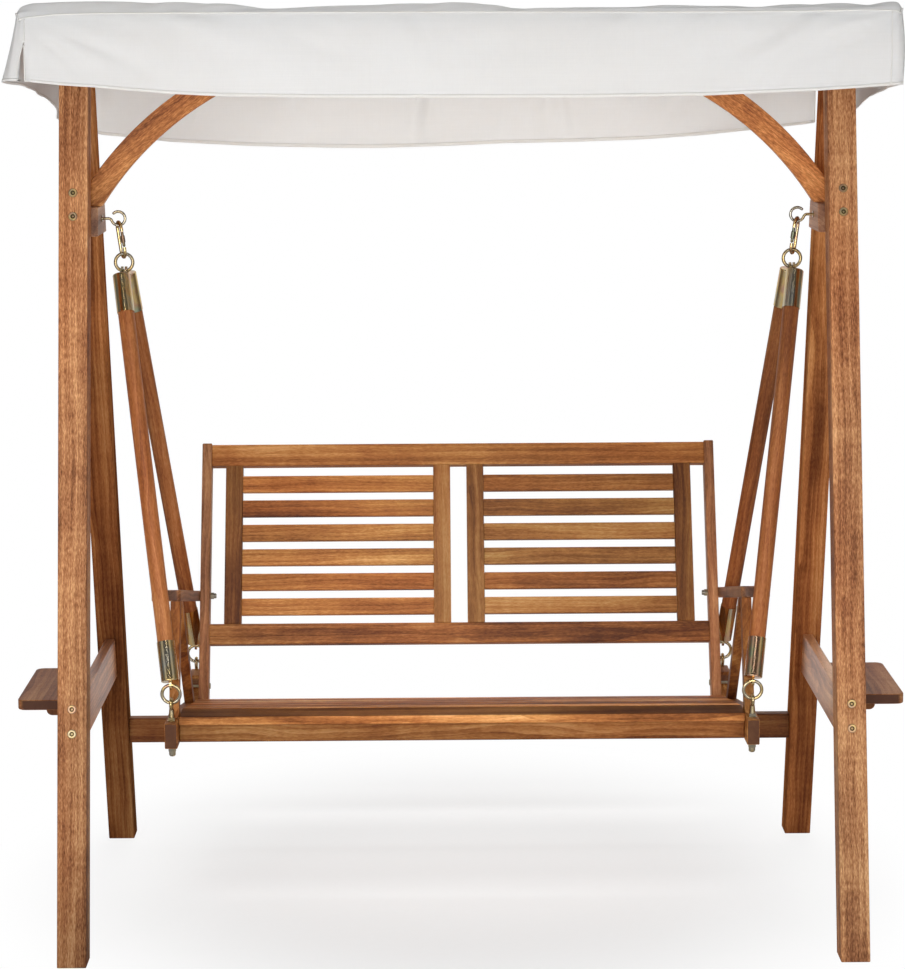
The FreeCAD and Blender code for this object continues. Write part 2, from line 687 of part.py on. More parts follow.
board("seat_front_rail", "YZ", [(frail_y0, frail_z0), (frail_y0 + frail_t, frail_z0),
                                (frail_y0 + frail_t, frail_z1), (frail_y0, frail_z1)], -stile_x1, stile_x1)
slats = [board("seat_slat_1", "YZ", [(sslat0_y0, frail_z1), (sslat0_y0 + sslat0_w, frail_z1),
                                     (sslat0_y0 + sslat0_w, frail_z1 + sslat_t), (sslat0_y0, frail_z1 + sslat_t)],
               -stile_x1, stile_x1, edge=ease, make=False)]
for i in range(5):
    u0 = i * (sslat_w + sslat_g)
    slats.append(board("seat_slat_%d" % (i + 2), "YZ",
                       [seat(u0, 0), seat(u0, sslat_t), seat(u0 + sslat_w, sslat_t), seat(u0 + sslat_w, 0)],
                       -stile_x1, stile_x1, edge=ease, make=False))
group("seat_slats", slats)
u_end = 5 * sslat_w + 4 * sslat_g
bear = [(frail_y0 + frail_t, frail_z1 - 37), (frail_y0 + frail_t, frail_z1), (sslat0_y0 + sslat0_w + 4, frail_z1),
        seat(q(2), sslat_t), seat(u_end - 24, sslat_t), seat(u_end - 24, sslat_t + 37)]
bearers = [board("seat_bearer_%d" % i, "YZ", bear, a, b, edge=ease_s, make=False)
           for i, (a, b) in enumerate(((-(stile_x1), -(stile_x1 - 22)), (q(-11), q(11)), (stile_x1 - 22, stile_x1)))]
group("seat_bearers", bearers)
board("seat_rear_rail", "YZ", [seat(u_end - 24, sslat_t + 37), seat(u_end - 2, sslat_t + 37), seat(u_end - 2, sslat_t), seat(u_end - 24, sslat_t)],
      -stile_x1, stile_x1)

# ---------------------------------------------------------------- bench: backrest
bx0, bx1 = -(stile_x1 - stile_w), stile_x1 - stile_w
board("back_top_rail", "YZ", back_rect(trail_s0, trail_s1, 0, rail_t), bx0, bx1)
board("back_bottom_rail", "YZ", back_rect(brail_s0, brail_s1, 0, rail_t), bx0, bx1)
ups = []
for i, (a, b) in enumerate(((-(up_out + up_w), -up_out), (-(up_in + up_w), -up_in), (up_in, up_in + up_w), (up_out, up_out + up_w))):
    ups.append(board("back_upright_%d" % (i + 1), "YZ", back_rect(brail_s1, trail_s0, 0, rail_t), a, b, edge=ease_s,
                     make=False))
group("back_uprights", ups)
d0 = (rail_t - bslat_t) / 2 - 2
for name, sx in SIDES:
    x0, x1 = span(sx, up_in + up_w, up_out)
    row = [board("back_slat_%s_%d" % (name, i + 1), "YZ",
                 back_rect(bslat_s + i * bslat_p, bslat_s + i * bslat_p + bslat_h, d0, d0 + bslat_t), x0, x1,
                 edge=ease_s, make=False) for i in range(6)]
    group("back_slats_" + name, row)

# ---------------------------------------------------------------- hanging gear


def eye_shape(x, y, ring_z, rail_top, rail_bottom):
    """An eye bolt, its washer and lock nut over the rail, its nut below."""
    ec = ring_z - ring_R.v - 2.7
    eye = Part.makeTorus(eye_R.v, eye_r.v, V(x, y, ec), V(1, 0, 0))
    zb = rail_bottom - 18.5
    zt = ec - eye_R.v
    shank = Part.makeCylinder(4.0, zt - zb, V(x, y, zb))
    shank = shank.fuse(Part.makeSphere(4.0, V(x, y, zt)))
    # a thicker neck between the eye and the rail
    zn = rail_top + 8.6
    if zt - zn > 6:
        shank = shank.fuse(Part.makeCone(6.0, 4.6, zt - zn, V(x, y, zn)))
    return eye.fuse(shank).removeSplitter()


def nut_stack(x, y, z, up):
    d = V(0, 0, 1 if up else -1)
    w = Part.makeCylinder(9.0, 1.6, V(x, y, z), d)
    n = hexagon(V(x, y, z) + d * 1.6, d, 13.0, 6.4)
    if up:
        s = w.fuse(n).removeSplitter()
        return s.cut(Part.makeCylinder(4.05, 40, V(x, y, z - 20)))
    # a cap nut over the end of the bolt
    dome = Part.makeCylinder(6.9, 20.4, V(x, y, z), d)
    end = [e for e in dome.Edges if abs((e.CenterOfMass - (V(x, y, z) + d * 20.4)).Length) < 1e-3]
    dome = dome.makeFillet(4.2, end[:1])
    n = hexagon(V(x, y, z) + d * 1.6, d, 15.0, 8.0)
    s = w.fuse(n).fuse(dome).removeSplitter()
    return s.cut(Part.makeCylinder(4.05, 39, V(x, y, z - 19)))


def lug_ferrule(cap, axis, eye_c, eye_x0, length):
    """A sleeve with a closed end and a flat lug whose hole takes the ring.

    cap: middle of the closed end; axis: from the cap along the arm; eye_c:
    middle of the hole; eye_x0: x of the middle of the lug.
    """
    ro = fer_od.v / 2
    tube = Part.makeCylinder(ro, length, cap, axis)
    rim = [e for e in tube.Edges if (e.CenterOfMass - cap).Length < 1e-3]
    tube = tube.makeFillet(2.2, rim[:1])
    tube = tube.cut(Part.makeCylinder(ro - fer_w.v, length, cap + axis * 3.0, axis))
    t = 5.0
    disc = Part.makeCylinder(10.5, t, V(eye_x0 - t / 2, eye_c.y, eye_c.z), V(1, 0, 0))
    foot = cap + axis * 2.0
    d = V(0, foot.y - eye_c.y, foot.z - eye_c.z)
    ln = d.Length
    d.normalize()
    n = V(1, 0, 0).cross(d)
    c = V(eye_x0 - t / 2, eye_c.y, eye_c.z)
    quad = [c + n * 10.0, c - n * 10.0, c - n * 8.5 + d * ln, c + n * 8.5 + d * ln]
    neck = Part.Face(Part.makePolygon(quad + [quad[0]])).extrude(V(t, 0, 0))
    lug = disc.fuse(neck).cut(Part.makeCylinder(5.5, t + 2, V(eye_x0 - t / 2 - 1, eye_c.y, eye_c.z), V(1, 0, 0)))
    lug = lug.cut(Part.makeCylinder(ro - fer_w.v, length, cap + axis * 3.0, axis))
    return tube.fuse(lug).removeSplitter()


ferrules, low_rings, eyes, nuts, top_rings = [], [], [], [], []
for name, sx in SIDES:
    top_rings.append((sx * top_x.v, 0.0, top_z.v))
    for end, sy, ey, rz in (("front", -1, eye_fy.v, fring_z.v), ("rear", 1, eye_ry.v, rring_z.v)):
        rx = sx * eye_x.v
        low_rings.append((rx, ey, rz))
        lug_x = sx * (top_x.v - sy * 4.0)
        hole_t = V(lug_x, 0, top_z.v - math.sqrt(ring_R.v ** 2 - 16.0) - 1.0)
        hole_b = V(rx, ey, rz + ring_R.v + 1.0)
        cap_t = V(lug_x, sy * 22.0, top_z.v - 24.0)
        u = (hole_b - cap_t).normalize()
        cap_b = hole_b - u * 6.5
        u = (cap_b - cap_t).normalize()
        length = (cap_b - cap_t).Length
        rod = doc.addObject("Part::Cylinder", "hanger_rod_%s_%s" % (end, name))
        rod.setExpression("Radius", (rod_d / 2).e)
        rod.Height = length - 6.4
        rod.Placement = FreeCAD.Placement(cap_t + u * 3.2, FreeCAD.Rotation(V(0, 0, 1), u))
        keep(rod, "hanger_rod_%s_%s" % (end, name))
        ferrules.append(lug_ferrule(cap_t, u, hole_t, lug_x, fer_lt.v))
        ferrules.append(lug_ferrule(cap_b, u * -1, hole_b, rx, fer_lb.v))
        rail_top, rail_bot = (486.2, 432.7) if sy < 0 else (454.8, 378.2)
        eyes.append(eye_shape(rx, ey, rz, rail_top, rail_bot))
        if sy < 0:
            nuts.append(nut_stack(rx, ey, rail_top, True))
        nuts.append(nut_stack(rx, ey, rail_bot - (0.3 if sy < 0 else 0.8), False))
solid("rod_ferrules", Part.makeCompound(ferrules))
solid("eye_bolts", Part.makeCompound(eyes))
solid("eye_bolt_nuts", Part.makeCompound(nuts))


def rings(label, places):
    made = []
    for i, (x, y, z) in enumerate(places):
        t = doc.addObject("Part::Torus", "%s_%d" % (label, i + 1))
        t.setExpression("Radius1", ring_R.e)
        t.setExpression("Radius2", ring_r.e)
        t.Placement = FreeCAD.Placement(V(x, y, z), FreeCAD.Rotation(V(1, 0, 0), 90))
        made.append(t)
    group(label, made)


rings("top_rings", top_rings)
rings("bottom_rings", low_rings)

# snap links: a long loop of round wire, open on one side for the sprung gate
z_hi = hook_z.v - hook_R.v + hook_r.v + car_r.v + car_gap.v     # wire middle over the hook
z_lo = top_z.v + ring_R.v - ring_r.v - car_r.v - car_gap.v      # wire middle under the ring
cR = (car_w.v - 2 * car_r.v) / 2
GATE_LO, GATE_HI = 11.0, 40.0       # ends of the gate above the lower bend's middle
for name, sx in SIDES:
    x = sx * top_x.v
    xh = sx * hook_x.v
    ang = math.radians(car_deg.v)
    # the link leans a little: its top is on the hook, its foot in the ring
    foot = V(x, 0, z_lo)
    head = V(xh, 0, z_hi)
    axis = (head - foot)
    L = axis.Length
    axis.normalize()
    across = V(-sx * math.sin(ang), math.cos(ang), 0)
    across = (across - axis * across.dot(axis)).normalize()

    def P(a, s):
        return foot + across * a + axis * s

    lo_c, hi_c = cR, L - cR
    w = Part.Wire([
        Part.LineSegment(P(-cR, lo_c + GATE_LO - 4.0), P(-cR, lo_c)).toShape(),
        Part.Arc(P(-cR, lo_c), P(0, 0), P(cR, lo_c)).toShape(),
        Part.LineSegment(P(cR, lo_c), P(cR, hi_c)).toShape(),
        Part.Arc(P(cR, hi_c), P(0, L), P(-cR, hi_c)).toShape(),
        Part.LineSegment(P(-cR, hi_c), P(-cR, min(hi_c - 0.5, lo_c + GATE_HI + 0.6))).toShape()])
    solid("snap_link_" + name, sweep(w, car_r.v))
    piv = P(-cR, lo_c + GATE_LO)
    tipz = min(hi_c - 0.5, lo_c + GATE_HI + 0.6) - 0.6
    g = Part.makeSphere(3.2, piv).fuse(Part.makeCylinder(3.2, tipz - (lo_c + GATE_LO), piv, axis))
    # the thicker sleeve at the middle of the gate
    sleeve = Part.makeCylinder(4.5, 15.0, piv + axis * 6.0, axis)
    sleeve = sleeve.makeChamfer(0.7, [e for e in sleeve.Edges if e.Length > 20.0 and len(e.Vertexes) == 1])
    g = g.fuse(sleeve).removeSplitter()
    solid("snap_gate_" + name, g)
    print("gate", name, "pivot", [round(c, 3) for c in piv], "normal", [round(c, 4) for c in across.cross(axis)],
          "inward", [round(c, 4) for c in across], "L", round(L, 2), "bends", round(lo_c, 2), round(hi_c, 2))

# bolts of the bench: two through each stile foot and side rail, one through each armrest tongue
bb = []
for sx in (-1, 1):
    for y, z in ((119.9, 402.7), (139.5, 437.0)):
        bb.append(screw(V(sx * (stile_x1.v - stile_w.v), y, z), V(-sx, 0, 0), 14.0, 2.4, 6.0, 46.0, (4.0, 1.6)))
    y = 220.1
    z = arm_z0.v - (y - arm_y0.v) * math.tan(math.radians(arm_deg.v)) - arm_t.v / 2 / math.cos(math.radians(arm_deg.v))
    p = V(sx * (arm_xt.v), y, z)
    b = screw(p, V(sx, 0, 0), 12.0, 1.8, 6.0, 42.0, (3.0, 1.2))
    inner = V(sx * (stile_x1.v - stile_w.v), y, z)
    n = hexagon(inner, V(-sx, 0, 0), 13.0, 7.5)
    cap = Part.makeCylinder(5.6, 13.0, inner, V(-sx, 0, 0))
    end = [e for e in cap.Edges if abs((e.CenterOfMass - (inner + V(-sx * 13.0, 0, 0))).Length) < 1e-3]
    cap = cap.makeFillet(1.6, end[:1])
    bb.append(b.fuse(n).fuse(cap).removeSplitter())
solid("bench_bolts", Part.makeCompound(bb))

# ---------------------------------------------------------------- check and write
doc.recompute()
bad = []
for o in doc.Objects:
    if "Invalid" in o.State or "Error" in o.State:
        bad.append("%s %s" % (o.Name, o.State))
for o in PARTS:
    s = o.Shape
    if s.isNull() or not s.isValid() or len(s.Solids) == 0:
        bad.append("%s shape" % o.Label)
if bad:
    raise SystemExit("not built: " + "; ".join(bad))
labels = [o.Label for o in PARTS]
if len(set(labels)) != len(labels) or len(labels) > 60:
    raise SystemExit("names: %d of %d" % (len(set(labels)), len(labels)))
os.makedirs("parts", exist_ok=True)
for o in PARTS:
    o.Shape.exportStep("parts/%s.step" % o.Label)
    bbx = o.Shape.BoundBox
    print("%-24s solids %2d  vol %10.0f  x %8.1f %8.1f  y %8.1f %8.1f  z %8.1f %8.1f" % (
        o.Label, len(o.Shape.Solids), o.Shape.Volume, bbx.XMin, bbx.XMax, bbx.YMin, bbx.YMax, bbx.ZMin, bbx.ZMax))
print(len(PARTS), "parts")
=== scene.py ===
import math

import bmesh
import bpy
import numpy as np
from mathutils import Matrix, Vector


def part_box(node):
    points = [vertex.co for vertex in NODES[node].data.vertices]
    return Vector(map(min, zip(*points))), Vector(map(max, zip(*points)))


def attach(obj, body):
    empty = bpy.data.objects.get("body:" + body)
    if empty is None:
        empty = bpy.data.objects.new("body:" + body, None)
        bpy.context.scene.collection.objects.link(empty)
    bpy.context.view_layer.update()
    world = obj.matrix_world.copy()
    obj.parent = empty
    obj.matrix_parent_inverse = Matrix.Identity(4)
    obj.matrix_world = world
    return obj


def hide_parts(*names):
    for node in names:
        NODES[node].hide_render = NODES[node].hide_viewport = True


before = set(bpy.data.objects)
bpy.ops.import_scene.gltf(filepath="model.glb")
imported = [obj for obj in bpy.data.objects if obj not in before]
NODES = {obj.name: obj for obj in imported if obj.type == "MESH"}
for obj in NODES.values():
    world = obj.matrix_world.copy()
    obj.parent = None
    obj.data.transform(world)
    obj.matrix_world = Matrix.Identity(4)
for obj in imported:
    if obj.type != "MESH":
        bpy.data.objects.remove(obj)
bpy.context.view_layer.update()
scene = bpy.context.scene
scene.view_settings.view_transform = "Standard"
scene.view_settings.look = "None"

# ------------------------------------------------------------------ camera (the photograph's viewpoint)
YAW, PITCH, ROLL = 0.005727022, 0.1666236, -0.005829088
fw = Vector((math.sin(YAW) * math.cos(PITCH), math.cos(YAW) * math.cos(PITCH), -math.sin(PITCH)))
rt = Vector((math.cos(YAW), -math.sin(YAW), 0))
up = rt.cross(fw)
cr = math.cos(ROLL) * rt + math.sin(ROLL) * up
cu = -math.sin(ROLL) * rt + math.cos(ROLL) * up
cam_data = bpy.data.cameras.new("camera")
cam = bpy.data.objects.new("camera", cam_data)
scene.collection.objects.link(cam)
cam.matrix_world = Matrix(((cr.x, cu.x, -fw.x, -0.04783577), (cr.y, cu.y, -fw.y, -5.735573),
                           (cr.z, cu.z, -fw.z, 1.877994), (0, 0, 0, 1)))
cam_data.sensor_fit = "AUTO"
cam_data.sensor_width = 36.0
cam_data.lens = 2697.514 * 36.0 / 969.0
cam_data.clip_start, cam_data.clip_end = 0.1, 200.0
scene.camera = cam


# ------------------------------------------------------------------ small helpers for node trees
class Tree:
    def __init__(self, name):
        self.mat = bpy.data.materials.new(name)
        self.mat.use_nodes = True
        self.t = self.mat.node_tree
        self.t.nodes.clear()
        self.out = self.t.nodes.new("ShaderNodeOutputMaterial")
        self.bsdf = self.t.nodes.new("ShaderNodeBsdfPrincipled")
        self.link(self.bsdf.outputs[0], self.out.inputs["Surface"])

    def node(self, kind, **kw):
        n = self.t.nodes.new(kind)
        for k, v in kw.items():
            setattr(n, k, v)
        return n

    def link(self, a, b):
        self.t.links.new(a, b)

    def put(self, value, socket):
        if isinstance(value, bpy.types.NodeSocket):
            self.link(value, socket)
        else:
            socket.default_value = value

    def math(self, op, a, b=None, c=None, clamp=False):
        n = self.node("ShaderNodeMath", operation=op, use_clamp=clamp)
        self.put(a, n.inputs[0])
        if b is not None:
            self.put(b, n.inputs[1])
        if c is not None:
            self.put(c, n.inputs[2])
        return n.outputs[0]

    def vmath(self, op, a, b=None, scale=None):
        n = self.node("ShaderNodeVectorMath", operation=op)
        self.put(a, n.inputs[0])
        if b is not None:
            self.put(b, n.inputs[1])
        if scale is not None:
            self.put(scale, n.inputs["Scale"])
        return n.outputs["Value"] if op in ("DOT_PRODUCT", "LENGTH", "DISTANCE") else n.outputs[0]

    def mapping(self, vec, location=(0, 0, 0), rotation=(0, 0, 0), scale=(1, 1, 1)):
        n = self.node("ShaderNodeMapping")
        self.put(vec, n.inputs["Vector"])
        n.inputs["Location"].default_value = location
        n.inputs["Rotation"].default_value = rotation
        n.inputs["Scale"].default_value = scale
        return n.outputs[0]

    def noise(self, vec, scale, detail=2.0, rough=0.5, distortion=0.0, dims="3D"):
        n = self.node("ShaderNodeTexNoise", noise_dimensions=dims)
        self.put(vec, n.inputs["Vector"])
        n.inputs["Scale"].default_value = scale
        n.inputs["Detail"].default_value = detail
        n.inputs["Roughness"].default_value = rough
        n.inputs["Distortion"].default_value = distortion
        return n.outputs[0]

    def ramp(self, fac, stops, interpolation="LINEAR"):
        n = self.node("ShaderNodeValToRGB")
        cr_ = n.color_ramp
        cr_.interpolation = interpolation
        while len(cr_.elements) > 2:
            cr_.elements.remove(cr_.elements[-1])
        while len(cr_.elements) < len(stops):
            cr_.elements.new(0.5)
        for e, (p, c) in zip(cr_.elements, stops):
            e.position = p
            e.color = (*c, 1.0)
        self.put(fac, n.inputs[0])
        return n.outputs[0]

    def mix(self, fac, a, b, blend="MIX"):
        n = self.node("ShaderNodeMix", data_type="RGBA", blend_type=blend)
        self.put(fac, n.inputs[0])
        self.put(a if isinstance(a, bpy.types.NodeSocket) else (*a, 1.0), n.inputs[6])
        self.put(b if isinstance(b, bpy.types.NodeSocket) else (*b, 1.0), n.inputs[7])
        return n.outputs[2]

    def remap(self, value, a0, a1, b0, b1, smooth=False):
        n = self.node("ShaderNodeMapRange", interpolation_type="SMOOTHSTEP" if smooth else "LINEAR")
        self.put(value, n.inputs["Value"])
        for k, v in zip(("From Min", "From Max", "To Min", "To Max"), (a0, a1, b0, b1)):
            n.inputs[k].default_value = v
        return n.outputs[0]

    def bump(self, height, strength, distance, normal=None):
        n = self.node("ShaderNodeBump")
        n.inputs["Strength"].default_value = strength
        n.inputs["Distance"].default_value = distance
        self.put(height, n.inputs["Height"])
        if normal is not None:
            self.link(normal, n.inputs["Normal"])
        return n.outputs[0]

    def coords(self):
        return self.node("ShaderNodeTexCoord").outputs["Object"]


# ------------------------------------------------------------------ timber
def frame_of(axis):
    """Rotation whose first row is the grain axis."""
    u = Vector(axis).normalized()
    ref = Vector((1, 0, 0)) if abs(u.x) < 0.8 else Vector((0, 1, 0))
    v = (ref - u * ref.dot(u)).normalized()
    w = u.cross(v)
    return Matrix((u, v, w))


def wood(name, axis, centre, seed, tone=1.0, red=0.0, dark=0.0, contrast=1.0, pieces=None, rough=(0.40, 0.60), pale=0.0,
         ring=34.0, coat=0.02, figure=0.16, ends=0.62, stipple=0.34, spec=0.12, levels=None, along=None, worn=None):
    """Oiled hardwood with the grain along axis. pieces=(axis, start, pitch) tells the boards of one node apart, and
    levels=(first, [steps]) makes each of them lighter or darker. along=[(height, factor), ...] lets the board change
    slowly up its length, and the last argument, (piece, factor), paints shade on the upper face of one piece: it
    darkens that face as if in shadow."""
    t = Tree(name)
    rot = frame_of(axis)
    off = rot @ Vector(centre)
    contrast = 1.35 * contrast
    rnd = np.random.default_rng(seed)
    shift = rnd.uniform(-3.0, 3.0, 3)
    loc = (-off.x + shift[0], -off.y, -off.z)
    p = t.mapping(t.coords(), location=loc, rotation=rot.to_euler("XYZ"))
    ident = None
    if pieces:
        pa, start, pitch = pieces
        d = t.vmath("DOT_PRODUCT", t.coords(), tuple(Vector(pa).normalized()))
        ident = t.math("FLOOR", t.math("DIVIDE", t.math("SUBTRACT", d, start), pitch))
        move = t.node("ShaderNodeCombineXYZ")
        t.link(t.math("MULTIPLY", ident, 1.731), move.inputs[0])
        t.link(t.math("MULTIPLY", ident, 0.0137), move.inputs[1])
        t.link(t.math("MULTIPLY", ident, 0.0291), move.inputs[2])
        p = t.vmath("ADD", p, move.outputs[0])
    # slow wander of the grain along the board
    wander = t.noise(t.mapping(p, scale=(2.2, 9.0, 9.0)), 1.0, 2.0, 0.5)
    wv = t.node("ShaderNodeCombineXYZ")
    t.link(t.math("MULTIPLY", t.math("SUBTRACT", wander, 0.5), 0.050), wv.inputs[1])
    t.link(t.math("MULTIPLY", t.math("SUBTRACT", wander, 0.5), 0.035), wv.inputs[2])
    pw = t.vmath("ADD", p, wv.outputs[0])
    # growth rings cut lengthwise: long arches and stripes
    pith = tuple(float(x) for x in (0.0, rnd.uniform(0.025, 0.06) * rnd.choice([-1, 1]), rnd.uniform(0.02, 0.07) * rnd.choice([-1, 1])))
    wave = t.node("ShaderNodeTexWave", wave_type="RINGS", rings_direction="X", wave_profile="SAW")
    t.link(t.mapping(pw, location=pith, scale=(0.06, 1.0, 1.0)), wave.inputs["Vector"])
    wave.inputs["Scale"].default_value = ring
    wave.inputs["Distortion"].default_value = 2.4
    wave.inputs["Detail"].default_value = 2.0
    wave.inputs["Detail Scale"].default_value = 0.8
    wave.inputs["Detail Roughness"].default_value = 0.55
    rings = wave.outputs["Fac"]
    # broad bands, streaks, fibres, pores and the cross figure that catches the light
    band = t.noise(t.mapping(pw, scale=(1.3, 26.0, 26.0)), 1.0, 2.0, 0.5)
    streak = t.noise(t.mapping(pw, scale=(3.2, 85.0, 85.0)), 1.0, 2.0, 0.55)
    fibre = t.noise(t.mapping(pw, scale=(9.0, 300.0, 300.0)), 1.0, 3.0, 0.6)
    pore = t.noise(t.mapping(pw, scale=(34.0, 760.0, 760.0)), 1.0, 1.0, 0.5)
    pores = t.remap(pore, 0.58, 0.74, 0.0, 1.0)
    cloud = t.noise(t.mapping(p, scale=(2.4, 8.0, 8.0)), 1.0, 2.0, 0.5)
    cross = t.noise(t.mapping(pw, rotation=(0.0, 0.0, 0.9), scale=(30.0, 14.0, 14.0)), 1.0, 2.0, 0.5)
    fleck = t.noise(t.mapping(p, scale=(95.0, 430.0, 430.0)), 1.0, 2.0, 0.60)
    # one value from dark to light
    v = t.math("MULTIPLY", t.math("SUBTRACT", rings, 0.5), 0.13 * contrast)
    for part, weight in ((band, 0.80), (streak, 0.42), (fibre, 0.24), (cloud, 0.62), (cross, figure), (fleck, stipple)):
        v = t.math("MULTIPLY_ADD", t.math("SUBTRACT", part, 0.5), weight * contrast, v)
    v = t.math("ADD", v, 0.5 - dark)
    if ident is not None:
        wn = t.node("ShaderNodeTexWhiteNoise", noise_dimensions="1D")
        t.link(t.math("ADD", ident, float(seed % 97) + 0.31), wn.inputs["W"])
        v = t.math("MULTIPLY_ADD", t.math("SUBTRACT", wn.outputs["Value"], 0.5), 0.12, v)
    if levels:
        first, steps = levels
        n = len(steps)
        pick = t.math("DIVIDE", t.math("ADD", t.math("SUBTRACT", ident, first), 0.5), n)
        stops = [(k / n, (0.5 + q, 0.5 + q, 0.5 + q)) for k, q in enumerate(steps)]
        v = t.math("ADD", v, t.math("SUBTRACT", t.ramp(pick, stops, "CONSTANT"), 0.5))
    v = t.math("ADD", v, 0.0, clamp=True)

    def c(r, g, b):
        r, g, b = r * tone, g * tone * (1 - 0.16 * red), b * tone * (1 - 0.10 * red)
        m = (r + g + b) / 3
        return tuple(max(0.0, x + (m * 1.12 - x) * pale) for x in (r, g, b))
    col = t.ramp(v, [(0.0, c(0.090, 0.026, 0.0075)), (0.22, c(0.180, 0.056, 0.0145)), (0.42, c(0.300, 0.103, 0.026)),
                     (0.58, c(0.400, 0.154, 0.041)), (0.76, c(0.515, 0.232, 0.071)), (1.0, c(0.670, 0.355, 0.140))])
    # drift between a redder and a more golden brown
    drift = t.noise(t.mapping(p, scale=(1.1, 6.0, 6.0)), 1.0, 1.0, 0.5)
    if ident is not None:
        wc = t.node("ShaderNodeTexWhiteNoise", noise_dimensions="1D")
        t.link(t.math("ADD", ident, float(seed % 89) + 0.77), wc.inputs["W"])
        drift = t.math("MULTIPLY_ADD", t.math("SUBTRACT", wc.outputs["Value"], 0.5), 0.30, drift)
    hue = t.mix(t.remap(drift, 0.30, 0.70, 0.0, 1.0), (0.96, 1.04, 1.02), (1.05, 0.90, 0.78))
    col = t.mix(1.0, col, hue, "MULTIPLY")
    col = t.mix(t.math("MULTIPLY", pores, 0.22), col, c(0.090, 0.030, 0.011))
    facing = t.node("ShaderNodeTexCoord").outputs["Normal"]
    if along:
        h_ = t.node("ShaderNodeSeparateXYZ")
        t.link(t.coords(), h_.inputs[0])
        k_ = t.ramp(t.math("MULTIPLY", h_.outputs[2], 0.5), [(z_ / 2.0, (f_ / 4.0, f_ / 4.0, f_ / 4.0)) for z_, f_ in along], "EASE")
        col = t.vmath("MULTIPLY", col, t.vmath("SCALE", k_, scale=4.0))
    # painted shade: the upward faces of the chosen piece are darkened by the given factor, as if in shadow
    if worn:
        up = t.vmath("DOT_PRODUCT", facing, (0.0, 0.0, 1.0))
        one = t.math("COMPARE", ident, float(worn[0]), 0.2)
        col = t.mix(t.math("MULTIPLY", t.remap(up, 0.55, 0.85, 0.0, 1.0), one), col, t.vmath("SCALE", col, scale=worn[1]))
    # sawn ends drink the oil and go dark
    face = t.vmath("DOT_PRODUCT", facing, tuple(rot[0]))
    sawn = t.remap(t.math("ABSOLUTE", face), 0.80, 0.97, 0.0, ends)
    col = t.mix(sawn, col, c(0.105, 0.042, 0.022))
    t.link(col, t.bsdf.inputs["Base Color"])
    rg = t.math("MULTIPLY_ADD", fibre, rough[1] - rough[0], rough[0])
    t.link(rg, t.bsdf.inputs["Roughness"])
    t.bsdf.inputs["Specular IOR Level"].default_value = spec
    t.bsdf.inputs["Coat Weight"].default_value = coat
    t.bsdf.inputs["Coat Roughness"].default_value = 0.35
    h = t.math("SUBTRACT", t.math("MULTIPLY_ADD", fibre, 0.6, t.math("MULTIPLY", streak, 0.5)), t.math("MULTIPLY", pores, 0.7))
    t.link(t.bump(h, 0.30, 0.0006), t.bsdf.inputs["Normal"])
    return t.mat


def dress(node, mat):
    o = NODES[node]
    o.data.materials.clear()
    o.data.materials.append(mat)


def middle(node):
    lo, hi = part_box(node)
    return (lo + hi) / 2


LEAN = 0.2351
BACK = (0.0, 0.4138, 0.9104)
SEAT = (0.0, 0.9816, -0.1908)
seed = 100


def timber(node, axis, **kw):
    global seed
    seed += 7
    dress(node, wood("timber_" + node, axis, middle(node), seed, **kw))


for side in ("left", "right"):
    here = side == "left"
    timber("leg_front_" + side, (0, LEAN, 1), tone=1.18 if here else 1.26, figure=0.26, pale=0.21, stipple=0.95, spec=0.02, coat=0.0,
           along=[(0.0, 0.58), (0.36, 1.0), (1.15, 1.10)] if here else None)
    timber("leg_rear_" + side, (0, -LEAN, 1), tone=0.60 if here else 0.92, red=0.35, dark=0.05, contrast=1.1, spec=0.0, coat=0.0, pale=0.08,
           along=[(0.25, 0.72), (0.72, 1.2), (1.12, 1.25), (1.3, 2.25)] if here else
           [(0.25, 0.82), (0.95, 1.3), (1.35, 1.45)])
    # the lower crossbars' colour is lightened and greyed (tone 1.60, pale 0.26) partly as painted sheen on their
    # grazing faces; their real gloss comes from spec 0.66
    timber("lower_crossbar_" + side, (0, 1, 0), tone=1.60, pale=0.26, spec=0.66, rough=(0.30, 0.45))
    timber("upper_crossbar_" + side, (0, 1, 0), tone=1.20, pale=0.14, spec=0.3)
    timber("hook_block_" + side, (0, 1, 0), tone=1.25, pale=0.30, spec=0.4, ends=0.35)
    timber("brace_" + side, (1, 0, 0.75 if here else -0.75), tone=1.48, contrast=0.75, figure=0.25, stipple=0.95, pale=0.06)
    timber("shelf_" + side, (0, 1, 0), tone=0.86, pale=0.14, red=0.3, ends=0.97, spec=0.11)
    timber("side_rail_" + side, (0, 1, -0.1), tone=0.80, ends=0.93, contrast=1.2)
    # the stiles' colour is lightened and greyed (tone 1.1, pale 0.18) partly as painted sheen on their side faces
    timber("back_stile_" + side, BACK, tone=1.1, pale=0.18)
    timber("armrest_" + side, (0, 0.978, -0.208), tone=0.90, pale=0.20, ends=0.80, spec=0.25, contrast=1.3)
    timber("arm_posts_" + side, (0, 0.1, 1), tone=0.80, pieces=((0, 1, 0), -0.45, 0.34), levels=(0, [0.02, -0.14]))
    timber("back_slats_" + side, (1, 0, 0), tone=1.02 if here else 0.75, red=-0.30, pieces=(BACK, 0.0334, 0.0569), stipple=0.45)
timber("shelf_cleats", (0, 1, 0), tone=0.9)
timber("ridge_beam", (1, 0, 0), tone=0.9)
timber("rear_stretcher", (1, 0, 0), tone=0.39, red=0.2, contrast=1.3)
timber("seat_front_rail", (1, 0, 0), tone=0.54, red=0.1, contrast=1.3)
